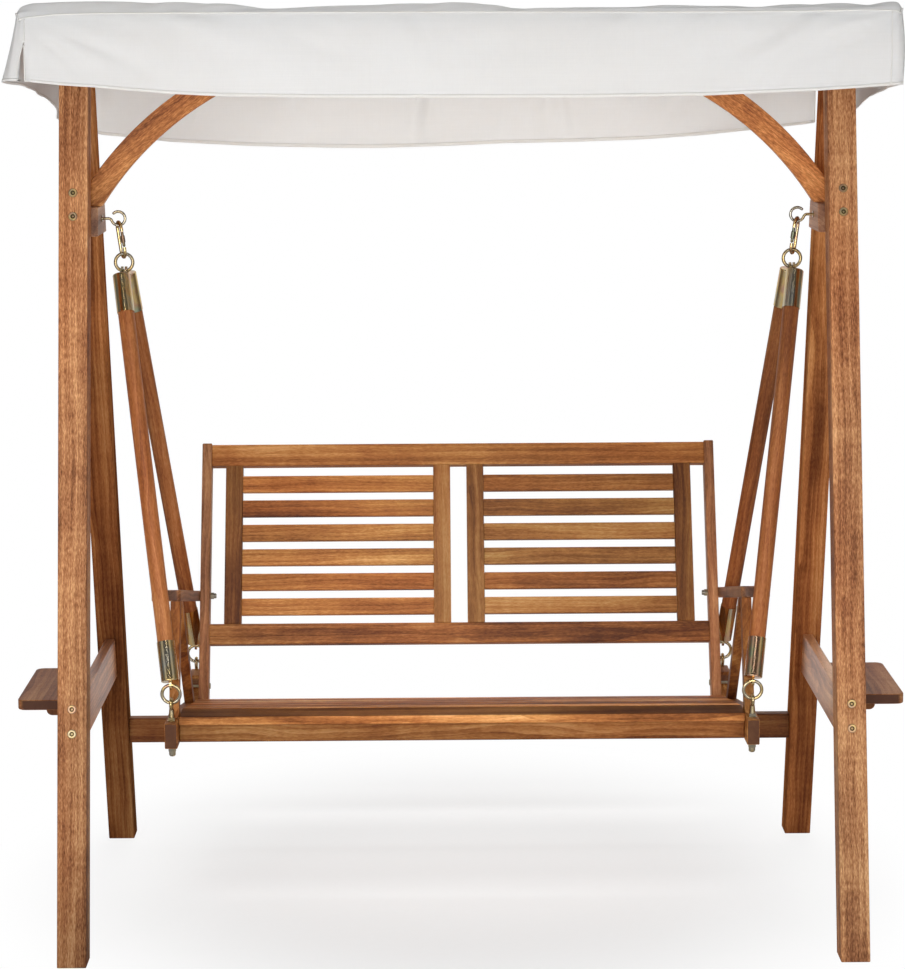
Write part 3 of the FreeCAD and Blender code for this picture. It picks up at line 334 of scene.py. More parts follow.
# the front seat slat's upper face carries painted shade at 0.44 of its colour
timber("seat_slats", (1, 0, 0), tone=1.30, contrast=1.2, pieces=((0, 1, 0), -0.352, 0.0731), spec=0.05, coat=0.0, pale=0.05,
       levels=(0, [0.0, 0.05, -0.16, 0.0, -0.12, -0.06]), worn=(0, 0.44))
timber("seat_bearers", SEAT, tone=0.85, pieces=((1, 0, 0), -0.9, 0.4))
timber("seat_rear_rail", (1, 0, 0), tone=0.85)
timber("back_top_rail", (1, 0, 0), tone=0.92, stipple=0.45)
timber("back_bottom_rail", (1, 0, 0), tone=0.84, dark=0.05, contrast=1.5, red=0.2)
timber("back_uprights", BACK, tone=0.64, pieces=((1, 0, 0), -0.8, 0.27), levels=(1, [-0.16, 0.04, 0.02, -0.12]))
for side in ("left", "right"):
    timber("canopy_side_" + side, (0, 0.9925, -0.1219), tone=0.9)
timber("canopy_front_bar", (1, 0, 0), tone=0.9)
timber("canopy_rear_bar", (1, 0, 0), tone=0.9)

# the hanging rods: turned, reddish and smoother, grain along each rod
for end, sy in (("front", -1), ("rear", 1)):
    for side, sx in (("left", -1), ("right", 1)):
        n = "hanger_rod_%s_%s" % (end, side)
        co = np.array([v.co for v in NODES[n].data.vertices])
        top = co[co[:, 2] > co[:, 2].max() - 0.03].mean(0)
        low = co[co[:, 2] < co[:, 2].min() + 0.03].mean(0)
        seed += 7
        dress(n, wood("timber_" + n, top - low, middle(n), seed, tone=(1.02 if sx < 0 else 0.90) if sy < 0 else 0.80, red=0.75, contrast=0.85, rough=(0.36, 0.5), pale=0.06,
                      figure=0.10, stipple=0.5))


# ------------------------------------------------------------------ zinc-plated steel
def zinc(name, seed, gold=0.5, rough=(0.20, 0.36), scale=1.0, dark=1.0, stains=0.35, bump=0.06, sockets=()):
    """Yellow-passivated zinc: gold drifting to red, green and grey, with a few dull stains."""
    t = Tree(name)
    p = t.mapping(t.coords(), location=(seed * 0.37, seed * 0.11, seed * 0.23))
    big = t.noise(t.mapping(p, scale=(1.0, 1.0, 0.45)), 34.0 * scale, 2.0, 0.5, 0.4)
    fine = t.noise(p, 300.0, 2.0, 0.5)
    g = t.math("ADD", t.math("MULTIPLY", t.math("SUBTRACT", big, 0.5), 2.0), gold, clamp=True)

    def c(r, gr, b):
        return (dark * r, dark * gr, dark * b)
    col = t.ramp(g, [(0.0, c(0.58, 0.54, 0.45)), (0.28, c(0.68, 0.55, 0.33)), (0.50, c(0.82, 0.58, 0.24)),
                     (0.68, c(0.68, 0.40, 0.26)), (0.84, c(0.54, 0.46, 0.26)), (1.0, c(0.44, 0.47, 0.32))])
    stain = t.remap(t.noise(p, 70.0, 2.0, 0.6), 0.58, 0.80, 0.0, stains)
    col = t.mix(stain, col, c(0.22, 0.18, 0.13))
    # painted shade: a dark ring round the middle of each screw socket, lighter at its very centre, as if the recess lay
    # in shadow
    if len(sockets):
        q = t.vmath("ABSOLUTE", t.coords())
        near = None
        for s_ in sockets:
            d = t.vmath("DISTANCE", q, tuple(float(abs(k)) for k in s_))
            near = d if near is None else t.math("MINIMUM", near, d)
        socket_shade = t.math("MULTIPLY", t.remap(near, 0.0044, 0.0056, 1.0, 0.0, smooth=True), t.remap(near, 0.0016, 0.0026, 0.25, 1.0, smooth=True))
        col = t.mix(socket_shade, col, (0.060, 0.044, 0.020))
    t.link(col, t.bsdf.inputs["Base Color"])
    t.bsdf.inputs["Metallic"].default_value = 1.0
    t.link(t.math("MULTIPLY_ADD", fine, rough[1] - rough[0], rough[0]), t.bsdf.inputs["Roughness"])
    t.link(t.bump(big, bump, 0.0008), t.bsdf.inputs["Normal"])
    return t.mat


def screw_sockets(node):
    """Middles of the sockets in the front left screw heads; the others mirror them."""
    co = np.array([v.co for v in NODES[node].data.vertices])
    co = co[(co[:, 0] < 0) & (co[:, 1] < 0)]
    out = np.array([0.0, -math.cos(math.atan(LEAN)), math.sin(math.atan(LEAN))])
    along = np.array([0.0, out[2], -out[1]])
    s_ = co @ along
    order = np.argsort(s_)
    cuts = np.where(np.diff(s_[order]) > 0.008)[0] + 1
    found = []
    for part in np.split(order, cuts):
        h = co[part] @ out
        head = co[part][h > h.max() - 0.0006]
        found.append(head.mean(0) - out * 0.0010)
    return found


for i, (n, gold) in enumerate((("rod_ferrules", 0.50), ("hook_left", 0.25), ("hook_right", 0.25), ("top_rings", 0.30),
                               ("bottom_rings", 0.35), ("eye_bolts", 0.40), ("eye_bolt_nuts", 0.30), ("snap_link_left", 0.50),
                               ("snap_link_right", 0.50), ("snap_gate_left", 0.40), ("snap_gate_right", 0.40), ("leg_screws", 0.52),
                               ("side_bolts", 0.45), ("bench_bolts", 0.20), ("apex_plates", 0.35), ("canopy_studs", 0.35))):
    if n == "rod_ferrules":
        dress(n, zinc("zinc_" + n, 3 + i, gold, (0.13, 0.19), 0.8, 0.84, 0.12, 0.03))
    elif n == "leg_screws":
        dress(n, zinc("zinc_" + n, 3 + i, gold, (0.34, 0.48), 1.0, 0.58, 0.3, sockets=screw_sockets(n)))
    elif n in ("side_bolts", "bench_bolts"):
        dress(n, zinc("zinc_" + n, 3 + i, gold, (0.42, 0.58), 1.0, 0.55, 0.5))
    elif n.startswith("snap_gate"):
        dress(n, zinc("zinc_" + n, 3 + i, 0.80, (0.30, 0.42), 1.0, 0.30))
    elif n.startswith("hook"):
        dress(n, zinc("zinc_" + n, 3 + i, 0.12, (0.16, 0.26), 1.0, 0.58))
    elif n == "top_rings":
        dress(n, zinc("zinc_" + n, 3 + i, 0.34, (0.18, 0.30), 1.0, 0.46))
    elif n in ("bottom_rings", "eye_bolts", "eye_bolt_nuts"):
        dress(n, zinc("zinc_" + n, 3 + i, gold, (0.15, 0.26), 1.0, 0.66))
    else:
        dress(n, zinc("zinc_" + n, 3 + i, gold, (0.16, 0.28), 1.0, 0.76))


# ------------------------------------------------------------------ canopy cloth: one sheet, roof and skirt
def table(points):
    xs, ys = np.array([a for a, b in points], float), np.array([b for a, b in points], float)
    return lambda x: np.interp(x, xs, ys)


def smooth01(x):
    x = np.clip(x, 0.0, 1.0)
    return x * x * (3 - 2 * x)


FRONT_HEM = table([(-872, 1788), (-855, 1786), (-783, 1778), (-711, 1773), (-640, 1766), (-568, 1760), (-475, 1755), (-254, 1750), (-14, 1749),
                   (238, 1748), (474, 1750), (710, 1759), (789, 1764), (872, 1770)])
FRONT_CREST = table([(-874, 1921), (-859, 1929), (-840, 1936), (-781, 1937), (-702, 1939), (-624, 1935.5), (-540, 1935), (-477, 1933.5),
                     (-440, 1930), (-409, 1926), (-386, 1922.5), (-311, 1924), (-232, 1927), (-120, 1930), (-12, 1932), (40, 1931), (75, 1926),
                     (105, 1919), (199, 1919.5), (280, 1921), (356, 1922), (400, 1924.5), (470, 1923.5), (545, 1921.5), (570, 1920),
                     (620, 1922), (671, 1925), (759, 1925.5), (805, 1922.5), (822, 1927), (840, 1930), (857, 1929), (874, 1921)])
FRONT_SEAM = table([(-872, 1905), (-850, 1908), (-790, 1914), (-700, 1916), (0, 1914.5), (400, 1912), (700, 1912.5), (800, 1914), (872, 1912)])
REAR_HEM = table([(-900, 1690), (-868, 1676), (-800, 1653), (-733, 1646), (-643, 1636), (-464, 1626), (-284, 1621), (-183, 1620), (-10, 1623.5),
                  (99, 1628), (279, 1631), (414, 1635), (549, 1644), (684, 1657), (774, 1666), (810, 1671), (872, 1686)])
LEFT_HEM = table([(-378, 1787), (-330, 1781), (-222, 1775), (-100, 1765), (-18, 1757), (117, 1743), (200, 1732), (256, 1721), (300, 1711),
                  (378, 1686)])
RIGHT_HEM = table([(-378, 1770), (-318, 1768), (-125, 1753), (56, 1736), (135, 1718), (260, 1703), (378, 1690)])
TILT = math.radians(7.0)
PIVOT = 1840.0
HALF_X, HALF_Y, CORNER = 868.0, 377.0, 22.0


def level_to_world(x, y, h):
    return x, y * math.cos(TILT) + h * math.sin(TILT), PIVOT - y * math.sin(TILT) + h * math.cos(TILT)


def lines(half, fine, count):
    """Grid lines from -half to half, close together at both ends."""
    ends = np.array(fine)
    mid = np.linspace(-half + ends[-1], half - ends[-1], count)
    return np.concatenate([-half + ends[:-1], mid, half - ends[:-1][::-1]])


gx = lines(HALF_X, [0, 5, 10.5, 16, 22, 32, 42], 160)
gy = lines(HALF_Y, [0, 3, 6.5, 10, 13.5, 17, 23, 32, 44], 44)
NX, NY = len(gx), len(gy)


def round_plan(x, y):
    """The grid's square corners drawn in to a radius."""
    u = (np.abs(x) - (HALF_X - CORNER)) / CORNER
    v = (np.abs(y) - (HALF_Y - CORNER)) / CORNER
    wide = 5.0 * smooth01((x - 700.0) / 160.0)
    if u <= 0 or v <= 0:
        return x + wide, y
    u2, v2 = u * math.sqrt(1 - v * v / 2), v * math.sqrt(1 - u * u / 2)
    return math.copysign(HALF_X - CORNER + u2 * CORNER, x) + wide, math.copysign(HALF_Y - CORNER + v2 * CORNER, y)


rng = np.random.default_rng(11)
WAVES = [(rng.uniform(3.0, 11.0), rng.uniform(-0.5, 0.5), rng.uniform(0, 6.28), rng.uniform(0.5, 1.0)) for _ in range(7)]


def ripple(x, y):
    """Slow slack in the cloth, about -1 to 1."""
    s = sum(a * math.sin(k * x / 1000.0 + q * y / 60.0 + ph) for k, q, ph, a in WAVES)
    return s / 3.0


def roof_height(x, y):
    """Height of the roof cloth over the level frame plane, before the tilt."""
    ex, ey = HALF_X - abs(x), HALF_Y - abs(y)
    h = 36.5
    # the slack between the bars, none where the leg tops are close under it
    sag = smooth01((ex - 100) / 330.0) * smooth01((ey - 14) / 190.0)
    h -= 12.5 * sag
    h += 1.6 * ripple(x, y) * smooth01(ey / 40.0) * smooth01(ex / 60.0) * (0.35 + 0.65 * sag)
    return h


def roll(d, radius=9.0):
    """Drop of a rounded edge at a distance d in from it."""
    if d >= radius:
        return 0.0
    return radius - math.sqrt(max(0.0, radius * radius - (radius - d) ** 2))


verts = []
index = {}
roof_uv = []
for j in range(NY):
    for i in range(NX):
        x, y = gx[i], gy[j]
        px, py = round_plan(x, y)
        d = min(HALF_X - abs(x), HALF_Y - abs(y))
        h = roof_height(x, y)
        X, Y, Z = level_to_world(px, py, h)
        # the puffed roll along the front bar, and a lower one along the rear
        fd = HALF_Y + y
        if fd < 75:
            crest = float(FRONT_CREST(x)) + 0.6
            bell = smooth01((75 - fd) / 57.0)
            seam = float(FRONT_SEAM(x))
            lift = crest - level_to_world(px, -HALF_Y + 18.0, h)[2]
            Z += lift * bell
            if fd < 17:
                k = fd / 17.0
                Z = max(seam + (Z - seam) * k * (1.22 - 0.22 * k), seam + (1919.6 - seam) * min(1.0, fd / 3.0))
            # shallow folds that run slantwise over the roll
            slack = 0.35 + 0.65 * math.sin(x / 190.0 + 0.9) ** 2
            Z += 1.7 * slack * math.sin(x / 21.0 - fd / 4.2 + 1.6 * math.sin(x / 97.0)) * smooth01(fd / 7.0) * smooth01((60 - fd) / 40.0)
        elif HALF_Y - y < 16:
            Z -= roll(HALF_Y - y, 12.0)
        sd = HALF_X - abs(x)
        if sd < 16:
            Z -= roll(sd, 11.0) * (0.5 + 0.5 * smooth01(fd / 45.0))
        index[i, j] = len(verts)
        verts.append([X, Y, Z])

faces = []
for j in range(NY - 1):
    for i in range(NX - 1):
        faces.append((index[i, j], index[i + 1, j], index[i + 1, j + 1], index[i, j + 1]))

# boundary loop, starting at the front left corner and going along the front edge to the right
loop = [(i, 0) for i in range(NX - 1)] + [(NX - 1, j) for j in range(NY - 1)] + \
       [(i, NY - 1) for i in range(NX - 1, 0, -1)] + [(0, j) for j in range(NY - 1, 0, -1)]
NB = len(loop)
base = np.array([verts[index[b]] for b in loop])
plan = np.array([round_plan(gx[i], gy[j]) for i, j in loop])
raw = np.array([(gx[i], gy[j]) for i, j in loop])


def outward(p):
    x, y = p
    x -= 5.0 * smooth01((x - 700.0) / 160.0)
    cx = min(max(x, -(HALF_X - CORNER)), HALF_X - CORNER)
    cy = min(max(y, -(HALF_Y - CORNER)), HALF_Y - CORNER)
    n = np.array([x - cx, y - cy])
    return n / (np.linalg.norm(n) + 1e-9)


normal = np.array([outward(p) for p in plan])
ROWS = np.concatenate([[0.0, 0.035, 0.075], np.linspace(0.13, 0.84, 13), [0.885, 0.925, 0.965, 1.0]])

# creases: from (X, z) to (X, z), width and depth in mm, fading towards the far end
FRONT_CREASES = [((-856, 1908), (-585, 1795), 14, -8.0), ((-850, 1904), (-660, 1812), 12, 6.5), ((-846, 1898), (-735, 1800), 12, -6.0),
                 ((-800, 1912), (-600, 1876), 9, -4.5), ((-560, 1908), (-330, 1830), 24, 5.0), ((-360, 1910), (-160, 1800), 26, -5.5),
                 ((862, 1914), (770, 1893), 6, -6.5), ((862, 1910), (690, 1868), 10, 6.0), ((856, 1902), (640, 1800), 16, -7.5),
                 ((720, 1908), (560, 1800), 22, 6.5), ((660, 1906), (470, 1790), 24, -7.0), ((330, 1906), (190, 1790), 28, 5.5),
                 ((120, 1908), (30, 1780), 28, -5.0), ((-120, 1906), (-60, 1800), 22, 3.5), ((480, 1906), (420, 1800), 18, 4.0)]
REAR_CREASES = [((560, 1790), (420, 1640), 26, -9.0), ((690, 1790), (610, 1660), 22, 8.0), ((100, 1790), (40, 1630), 34, 9.0),
                ((-75, 1790), (-95, 1630), 9, -9.0), ((-50, 1790), (-60, 1630), 16, 8.0), ((225, 1790), (250, 1635), 9, -8.0),
                ((205, 1790), (205, 1635), 18, 7.0), ((-330, 1800), (-420, 1630), 30, -9.0), ((-620, 1790), (-700, 1650), 24, 8.0),
                ((-560, 1790), (-590, 1650), 10, -7.0), ((-790, 1790), (-810, 1660), 16, -7.0)]


def crease(x, z, rows):
    s = 0.0
    for (x0, z0), (x1, z1), w, a in rows:
        dx, dz = x1 - x0, z1 - z0
        ln = math.hypot(dx, dz)
        t = ((x - x0) * dx + (z - z0) * dz) / (ln * ln)
        d = abs((x - x0) * dz - (z - z0) * dx) / ln
        if t < -0.1 or t > 1.25:
            continue
        fade = smooth01((t + 0.1) / 0.25) * smooth01((1.25 - t) / 0.8)
        ww = w * (0.55 + 0.9 * max(t, 0.0))
        s += a * fade * math.exp(-(d / ww) ** 2)
    return s


def hem_of(x, y, n):
    """Height of the bottom edge at a place on the loop."""
    wf, wr = max(0.0, -n[1]), max(0.0, n[1])
    wl, wrt = max(0.0, -n[0]), max(0.0, n[0])
    tot = wf ** 2 + wr ** 2 + wl ** 2 + wrt ** 2
    return (wf ** 2 * float(FRONT_HEM(x)) + wr ** 2 * float(REAR_HEM(x)) + wl ** 2 * float(LEFT_HEM(y)) + wrt ** 2 * float(RIGHT_HEM(y))) / tot


FLARE_LEFT = table([(-378, 36), (-330, 27), (-222, 17), (0, 16), (200, 17), (300, 21), (378, 27)])
FLARE_RIGHT = table([(-378, 5), (-200, 5), (0, 3), (200, 5), (378, 8)])
SLIT_FL = -852.0                                  # front left slit, along the end of the front panel
SLIT_RR = 814.0                                   # rear right slit, along the end of the rear panel


def skirt_point(b, t):
    x, y = plan[b]
    n = normal[b]
    X0, Y0, Z0 = base[b]
    hem = hem_of(raw[b][0], raw[b][1], n)
    Z = Z0 + (hem - Z0) * t
    front, rear = max(0.0, -n[1]), max(0.0, n[1])
    left, right = max(0.0, -n[0]), max(0.0, n[0])
    off = left * float(FLARE_LEFT(y)) * (0.30 * t + 0.70 * t ** 1.5) + right * (float(FLARE_RIGHT(y)) * t + 3.5 * math.sin(math.pi * t))
    off += rear * (7.0 * t)
    off += front * 1.5 * math.sin(math.pi * min(t * 1.3, 1.0))
    amp = t ** 1.3
    if front > 0.5:
        dent = crease(x, Z, FRONT_CREASES) * smooth01(t / 0.07)
        # the front bar stands behind the top of the panel, so the cloth dips in only below it
        off += max(dent, -1.6 - 9.0 * smooth01((1874.0 - Z) / 40.0)) + 2.0 * smooth01(t / 0.10)
        off += amp * (2.6 * math.sin(x / 118.0 + 0.7) + 1.7 * math.sin(x / 47.0 + 2.0)) * 0.7
    elif rear > 0.5:
        off += max(crease(x, Z, REAR_CREASES) * smooth01(t / 0.1), -2.5 - 7.0 * smooth01((1786.0 - Z) / 40.0))
        off += amp * (5.0 * math.sin(x / 140.0 + 0.3) + 3.0 * math.sin(x / 58.0 + 1.1))
    else:
        off += amp * (3.6 * math.sin(y / 62.0 + (0.4 if left > right else 2.2)) + 2.0 * math.sin(y / 27.0)) * 0.8
    off += 2.0 * t * (1 - t) * 4 * 0.5
    return np.array([X0 + n[0] * off, Y0 + n[1] * off, Z])


nfl = min(range(NB), key=lambda b: abs(plan[b][0] - SLIT_FL) + 1000 * (normal[b][1] > -0.9))
nrr = min(range(NB), key=lambda b: abs(plan[b][0] - SLIT_RR) + 1000 * (normal[b][1] < 0.9))
nrl = min(range(NB), key=lambda b: abs(plan[b][0] + 846.0) + 1000 * (normal[b][1] < 0.9))
SLITS = {nfl: 1858.0, nrr: 1795.0, nrl: 1760.0}

cols = np.zeros((NB, len(ROWS)), int)
cols2 = {}
for b in range(NB):
    cols[b, 0] = index[loop[b]]
    for r in range(1, len(ROWS)):
        p = skirt_point(b, ROWS[r])
        if b in SLITS and p[2] < SLITS[b]:
            k = min(1.0, ((SLITS[b] - p[2]) / 56.0)) ** 0.62
            q = p.copy()
            if b == nfl:                          # the loop runs left to right here: the far copy is the front panel
                p = p + np.array([-15.0 * k, -4.0 * k, 0.0])
                q = q + np.array([0.0, 0.0, -1.0 * k])
            elif b == nrr:                        # right to left here: the near copy is the corner strip
                p = p + np.array([13.0 * k, -9.0 * k, 0.0])
                q = q + np.array([-1.0 * k, 4.0 * k, 0.0])
            else:
                p = p + np.array([4.0 * k, -3.0 * k, 0.0])
                q = q + np.array([-5.0 * k, 3.0 * k, 0.0])
            cols2[b, r] = len(verts)
            verts.append(list(q))
        cols[b, r] = len(verts)
        verts.append(list(p))


def col_after(b, r):
    """The copy of a column that the next panel along the loop uses."""
    return cols2.get((b, r), cols[b, r])


for b in range(NB):
    c2 = (b + 1) % NB
    for r in range(len(ROWS) - 1):
        faces.append((col_after(b, r), col_after(b, r + 1), cols[c2, r + 1], cols[c2, r]))

for v in verts:
    for k in range(3):
        v[k] = float(v[k]) / 1000.0


def add_mesh(name, vs, fs, mat, smooth=True):
    me = bpy.data.meshes.new(name)
    me.from_pydata([tuple(v) for v in vs], [], fs)
    me.validate()
    bm = bmesh.new()
    bm.from_mesh(me)
    bmesh.ops.recalc_face_normals(bm, faces=bm.faces)
    bm.to_mesh(me)
    bm.free()
    for p in me.polygons:
        p.use_smooth = smooth
    me.materials.append(mat)
    o = bpy.data.objects.new(name, me)
    scene.collection.objects.link(o)
    return o


def cloth_material(name, base, warm, seed):
    t = Tree(name)
    p = t.coords()
    cloud = t.noise(t.mapping(p, location=(seed, 0, 0)), 3.2, 3.0, 0.55)
    mott = t.noise(t.mapping(p, location=(0, seed, 0)), 34.0, 3.0, 0.6)
    col = t.mix(t.remap(cloud, 0.35, 0.70, 0.0, 1.0), base, warm)
    sx = t.node("ShaderNodeSeparateXYZ")
    t.link(p, sx.inputs[0])
    thread = 2 * math.pi / 0.00125
    wx = t.math("SINE", t.math("MULTIPLY", t.math("ADD", sx.outputs[0], sx.outputs[1]), thread))
    wz = t.math("SINE", t.math("MULTIPLY", t.math("SUBTRACT", sx.outputs[2], t.math("MULTIPLY", sx.outputs[1], 0.9)), thread))
    weave = t.math("MULTIPLY", wx, wz)
    slub = t.noise(t.mapping(p, scale=(9.0, 9.0, 760.0)), 1.0, 2.0, 0.6)
    slub2 = t.noise(t.mapping(p, scale=(760.0, 760.0, 9.0)), 1.0, 2.0, 0.6)
    thr = t.math("MULTIPLY_ADD", weave, 0.05, t.math("ADD", slub, slub2))
    shade = t.remap(thr, 0.75, 1.25, 0.985, 1.012)
    mul = t.node("ShaderNodeCombineColor")
    for k in range(3):
        t.link(shade, mul.inputs[k])
    col = t.mix(1.0, col, mul.outputs[0], "MULTIPLY")
    col = t.mix(t.remap(mott, 0.45, 0.75, 0.0, 0.10), col, tuple(0.90 * x for x in warm))
    t.link(col, t.bsdf.inputs["Base Color"])
    t.bsdf.inputs["Roughness"].default_value = 0.92
    t.bsdf.inputs["Specular IOR Level"].default_value = 0.18
    t.bsdf.inputs["Sheen Weight"].default_value = 0.12
    t.bsdf.inputs["Subsurface Weight"].default_value = 0.50
    t.bsdf.inputs["Subsurface Radius"].default_value = (1.0, 0.95, 0.88)
    t.bsdf.inputs["Subsurface Scale"].default_value = 0.004
    t.bsdf.inputs["Sheen Roughness"].default_value = 0.5
    h = t.math("MULTIPLY_ADD", weave, 0.35, t.math("ADD", slub, slub2))
    n1 = t.bump(h, 0.16, 0.0005)
    n2 = t.bump(t.noise(t.mapping(p, location=(seed, seed, 0)), 15.0, 3.0, 0.55), 0.14, 0.006, n1)
    t.link(n2, t.bsdf.inputs["Normal"])
    return t.mat


CLOTH = cloth_material("canopy_cloth_weave", (0.805, 0.798, 0.785), (0.785, 0.772, 0.752), 4.0)
PIPING = cloth_material("canopy_piping_weave", (0.825, 0.810, 0.780), (0.790, 0.765, 0.725), 9.0)
cloth = add_mesh("canopy_sheet", verts, faces, CLOTH)
m = cloth.modifiers.new("thickness", "SOLIDIFY")
m.thickness, m.offset, m.use_even_offset = 0.0012, 0.0, False
m = cloth.modifiers.new("smooth", "SUBSURF")
m.levels = m.render_levels = 1


# ------------------------------------------------------------------ hems, seams and stitches on the cloth
def tube(path, radius, sides=6):
    """Vertices and faces of a bead along a path."""
    path = np.array(path, float)
    vs, fs = [], []
    n = len(path)
    tang = np.gradient(path, axis=0)
    tang /= np.linalg.norm(tang, axis=1)[:, None] + 1e-12
    for k in range(n):
        t_ = tang[k]
        ref = np.array([0, 0, 1.0]) if abs(t_[2]) < 0.8 else np.array([1.0, 0, 0])
        a = np.cross(t_, ref); a /= np.linalg.norm(a)
        c = np.cross(t_, a)
        for s in range(sides):
            an = 2 * math.pi * s / sides
            vs.append(path[k] + radius * (math.cos(an) * a + math.sin(an) * c))
    for k in range(n - 1):
        for s in range(sides):
            s2 = (s + 1) % sides
            fs.append((k * sides + s, k * sides + s2, (k + 1) * sides + s2, (k + 1) * sides + s))
    fs.append(tuple(range(sides)))
    fs.append(tuple((n - 1) * sides + s for s in range(sides)))
    return vs, fs


def merge(parts):
    vs, fs = [], []
    for v, f in parts:
        k = len(vs)
        vs += [list(map(float, p)) for p in v]
        fs += [tuple(i + k for i in q) for q in f]
    return vs, fs


V = np.array(verts)


def panel_runs():
    """Lists of loop places between slits, each as one hemmed panel."""
    cuts = sorted(SLITS)
    runs = []
    for a, b in zip(cuts, cuts[1:] + [cuts[0] + NB]):
        runs.append([k % NB for k in range(a, b + 1)])
    return runs


def at(b, r, first):
    return V[col_after(b, r)] if first else V[cols[b, r]]


def run_points(run, r):
    return np.array([at(b, r, k == 0) for k, b in enumerate(run)])


def resample(path, step):
    path = np.array(path, float)
    seg = np.linalg.norm(np.diff(path, axis=0), axis=1)
    s = np.concatenate([[0], np.cumsum(seg)])
    n = max(2, int(s[-1] / step) + 1)
    u = np.linspace(0, s[-1], n)
    return np.stack([np.interp(u, s, path[:, k]) for k in range(3)], axis=1)


def offset_out(run, pts, d):
    n3 = np.array([[normal[b][0], normal[b][1], 0.0] for b in run])
    return pts + n3 * d


hems, stitches = [], []
last = len(ROWS) - 1
for run in panel_runs():
    rows = [run_points(run, last - 1), 0.5 * (run_points(run, last - 1) + run_points(run, last)), run_points(run, last)]
    # a turned hem: a narrow folded band a little proud of the cloth on both faces, closed round the bottom edge
    prof = [(0, 0.0005), (0, 0.0007), (1, 0.0009), (2, 0.0009), (2, -0.0009), (1, -0.0009), (0, -0.0007), (0, -0.0005)]
    ring = [offset_out(run, rows[k], d) for k, d in prof]
    low = np.array([0, 0, -0.0012])
    ring[3] = ring[3] + low
    ring[4] = ring[4] + low
    n = len(run)
    vs = [list(p) for r_ in ring for p in r_]
    fs = []
    for k in range(len(ring) - 1):
        for i in range(n - 1):
            fs.append((k * n + i, k * n + i + 1, (k + 1) * n + i + 1, (k + 1) * n + i))
    k = len(ring) - 1
    for i in range(n - 1):
        fs.append((k * n + i, k * n + i + 1, i + 1, i))
    fs.append(tuple(k * n for k in range(len(ring))))
    fs.append(tuple(k * n + n - 1 for k in range(len(ring))))
    hems.append((vs, fs))
    line = offset_out(run, run_points(run, last - 2), 0.0007)
    pts = resample(line, 0.0044)
    for k in range(len(pts) - 1):
        stitches.append((pts[k], pts[k] + (pts[k + 1] - pts[k]) * 0.62))

# slit edges are hemmed too
for b in SLITS:
    for first in (False, True):
        rr = [r for r in range(len(ROWS)) if (b, r) in cols2]
        path = np.array([at(b, r, first) for r in rr])
        hems.append(tube(resample(path, 0.006), 0.0016))

# piping along the roof seam and down the corners
seam_path = np.array([base[b] / 1000.0 + np.array([normal[b][0], normal[b][1], 0.0]) * 0.0016 for b in list(range(NB)) + [0]])
beads = [tube(resample(seam_path, 0.008), 0.0019)]
for b in SLITS:
    rr = [r for r in range(len(ROWS)) if (b, r) not in cols2]
    if len(rr) > 2:
        path = np.array([V[cols[b, r]] for r in rr]) + np.array([normal[b][0], normal[b][1], 0.0]) * 0.0012
        beads.append(tube(resample(path, 0.006), 0.0015))
nfr = min(range(NB), key=lambda b: abs(plan[b][0] - 853.0) + 1000 * (normal[b][1] > -0.9))
path = np.array([V[cols[nfr, r]] for r in range(len(ROWS))]) + np.array([normal[nfr][0], normal[nfr][1], 0.0]) * 0.0012
beads.append(tube(resample(path, 0.006), 0.0014))
top_line = np.array([V[cols[b, 1]] for b in list(range(NB)) + [0]]) + \
    np.array([[normal[b][0], normal[b][1], 0.0] for b in list(range(NB)) + [0]]) * 0.0012
pts = resample(top_line, 0.0046)
for k in range(len(pts) - 1):
    stitches.append((pts[k], pts[k] + (pts[k + 1] - pts[k]) * 0.62))

hem = add_mesh("canopy_hem", *merge(hems), PIPING)
piping = add_mesh("canopy_piping", *merge(beads), PIPING)
sv, sf = [], []
for a, b in stitches:
    k = len(sv)
    d = (b - a) / (np.linalg.norm(b - a) + 1e-12)
    ref = np.array([0, 0, 1.0]) if abs(d[2]) < 0.8 else np.array([1.0, 0, 0])
    e1 = np.cross(d, ref); e1 /= np.linalg.norm(e1)
    e2 = np.cross(d, e1)
    for q, w in ((a, 0.00025), (a + (b - a) * 0.25, 0.00045), (a + (b - a) * 0.75, 0.00045), (b, 0.00025)):
        for s in range(4):
            an = math.pi / 2 * s + math.pi / 4
            sv.append(list(q + w * (math.cos(an) * e1 + math.sin(an) * e2)))
    for j in range(3):
        for s in range(4):
            s2 = (s + 1) % 4
            sf.append((k + 4 * j + s, k + 4 * j + s2, k + 4 * j + 4 + s2, k + 4 * j + 4 + s))
    sf.append((k, k + 1, k + 2, k + 3))
    sf.append((k + 12, k + 13, k + 14, k + 15))
thread = add_mesh("canopy_stitches", sv, sf, CLOTH)

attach(cloth, "canopy")
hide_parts("canopy_cloth")
for o in (hem, piping, thread):
    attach(o, "canopy")


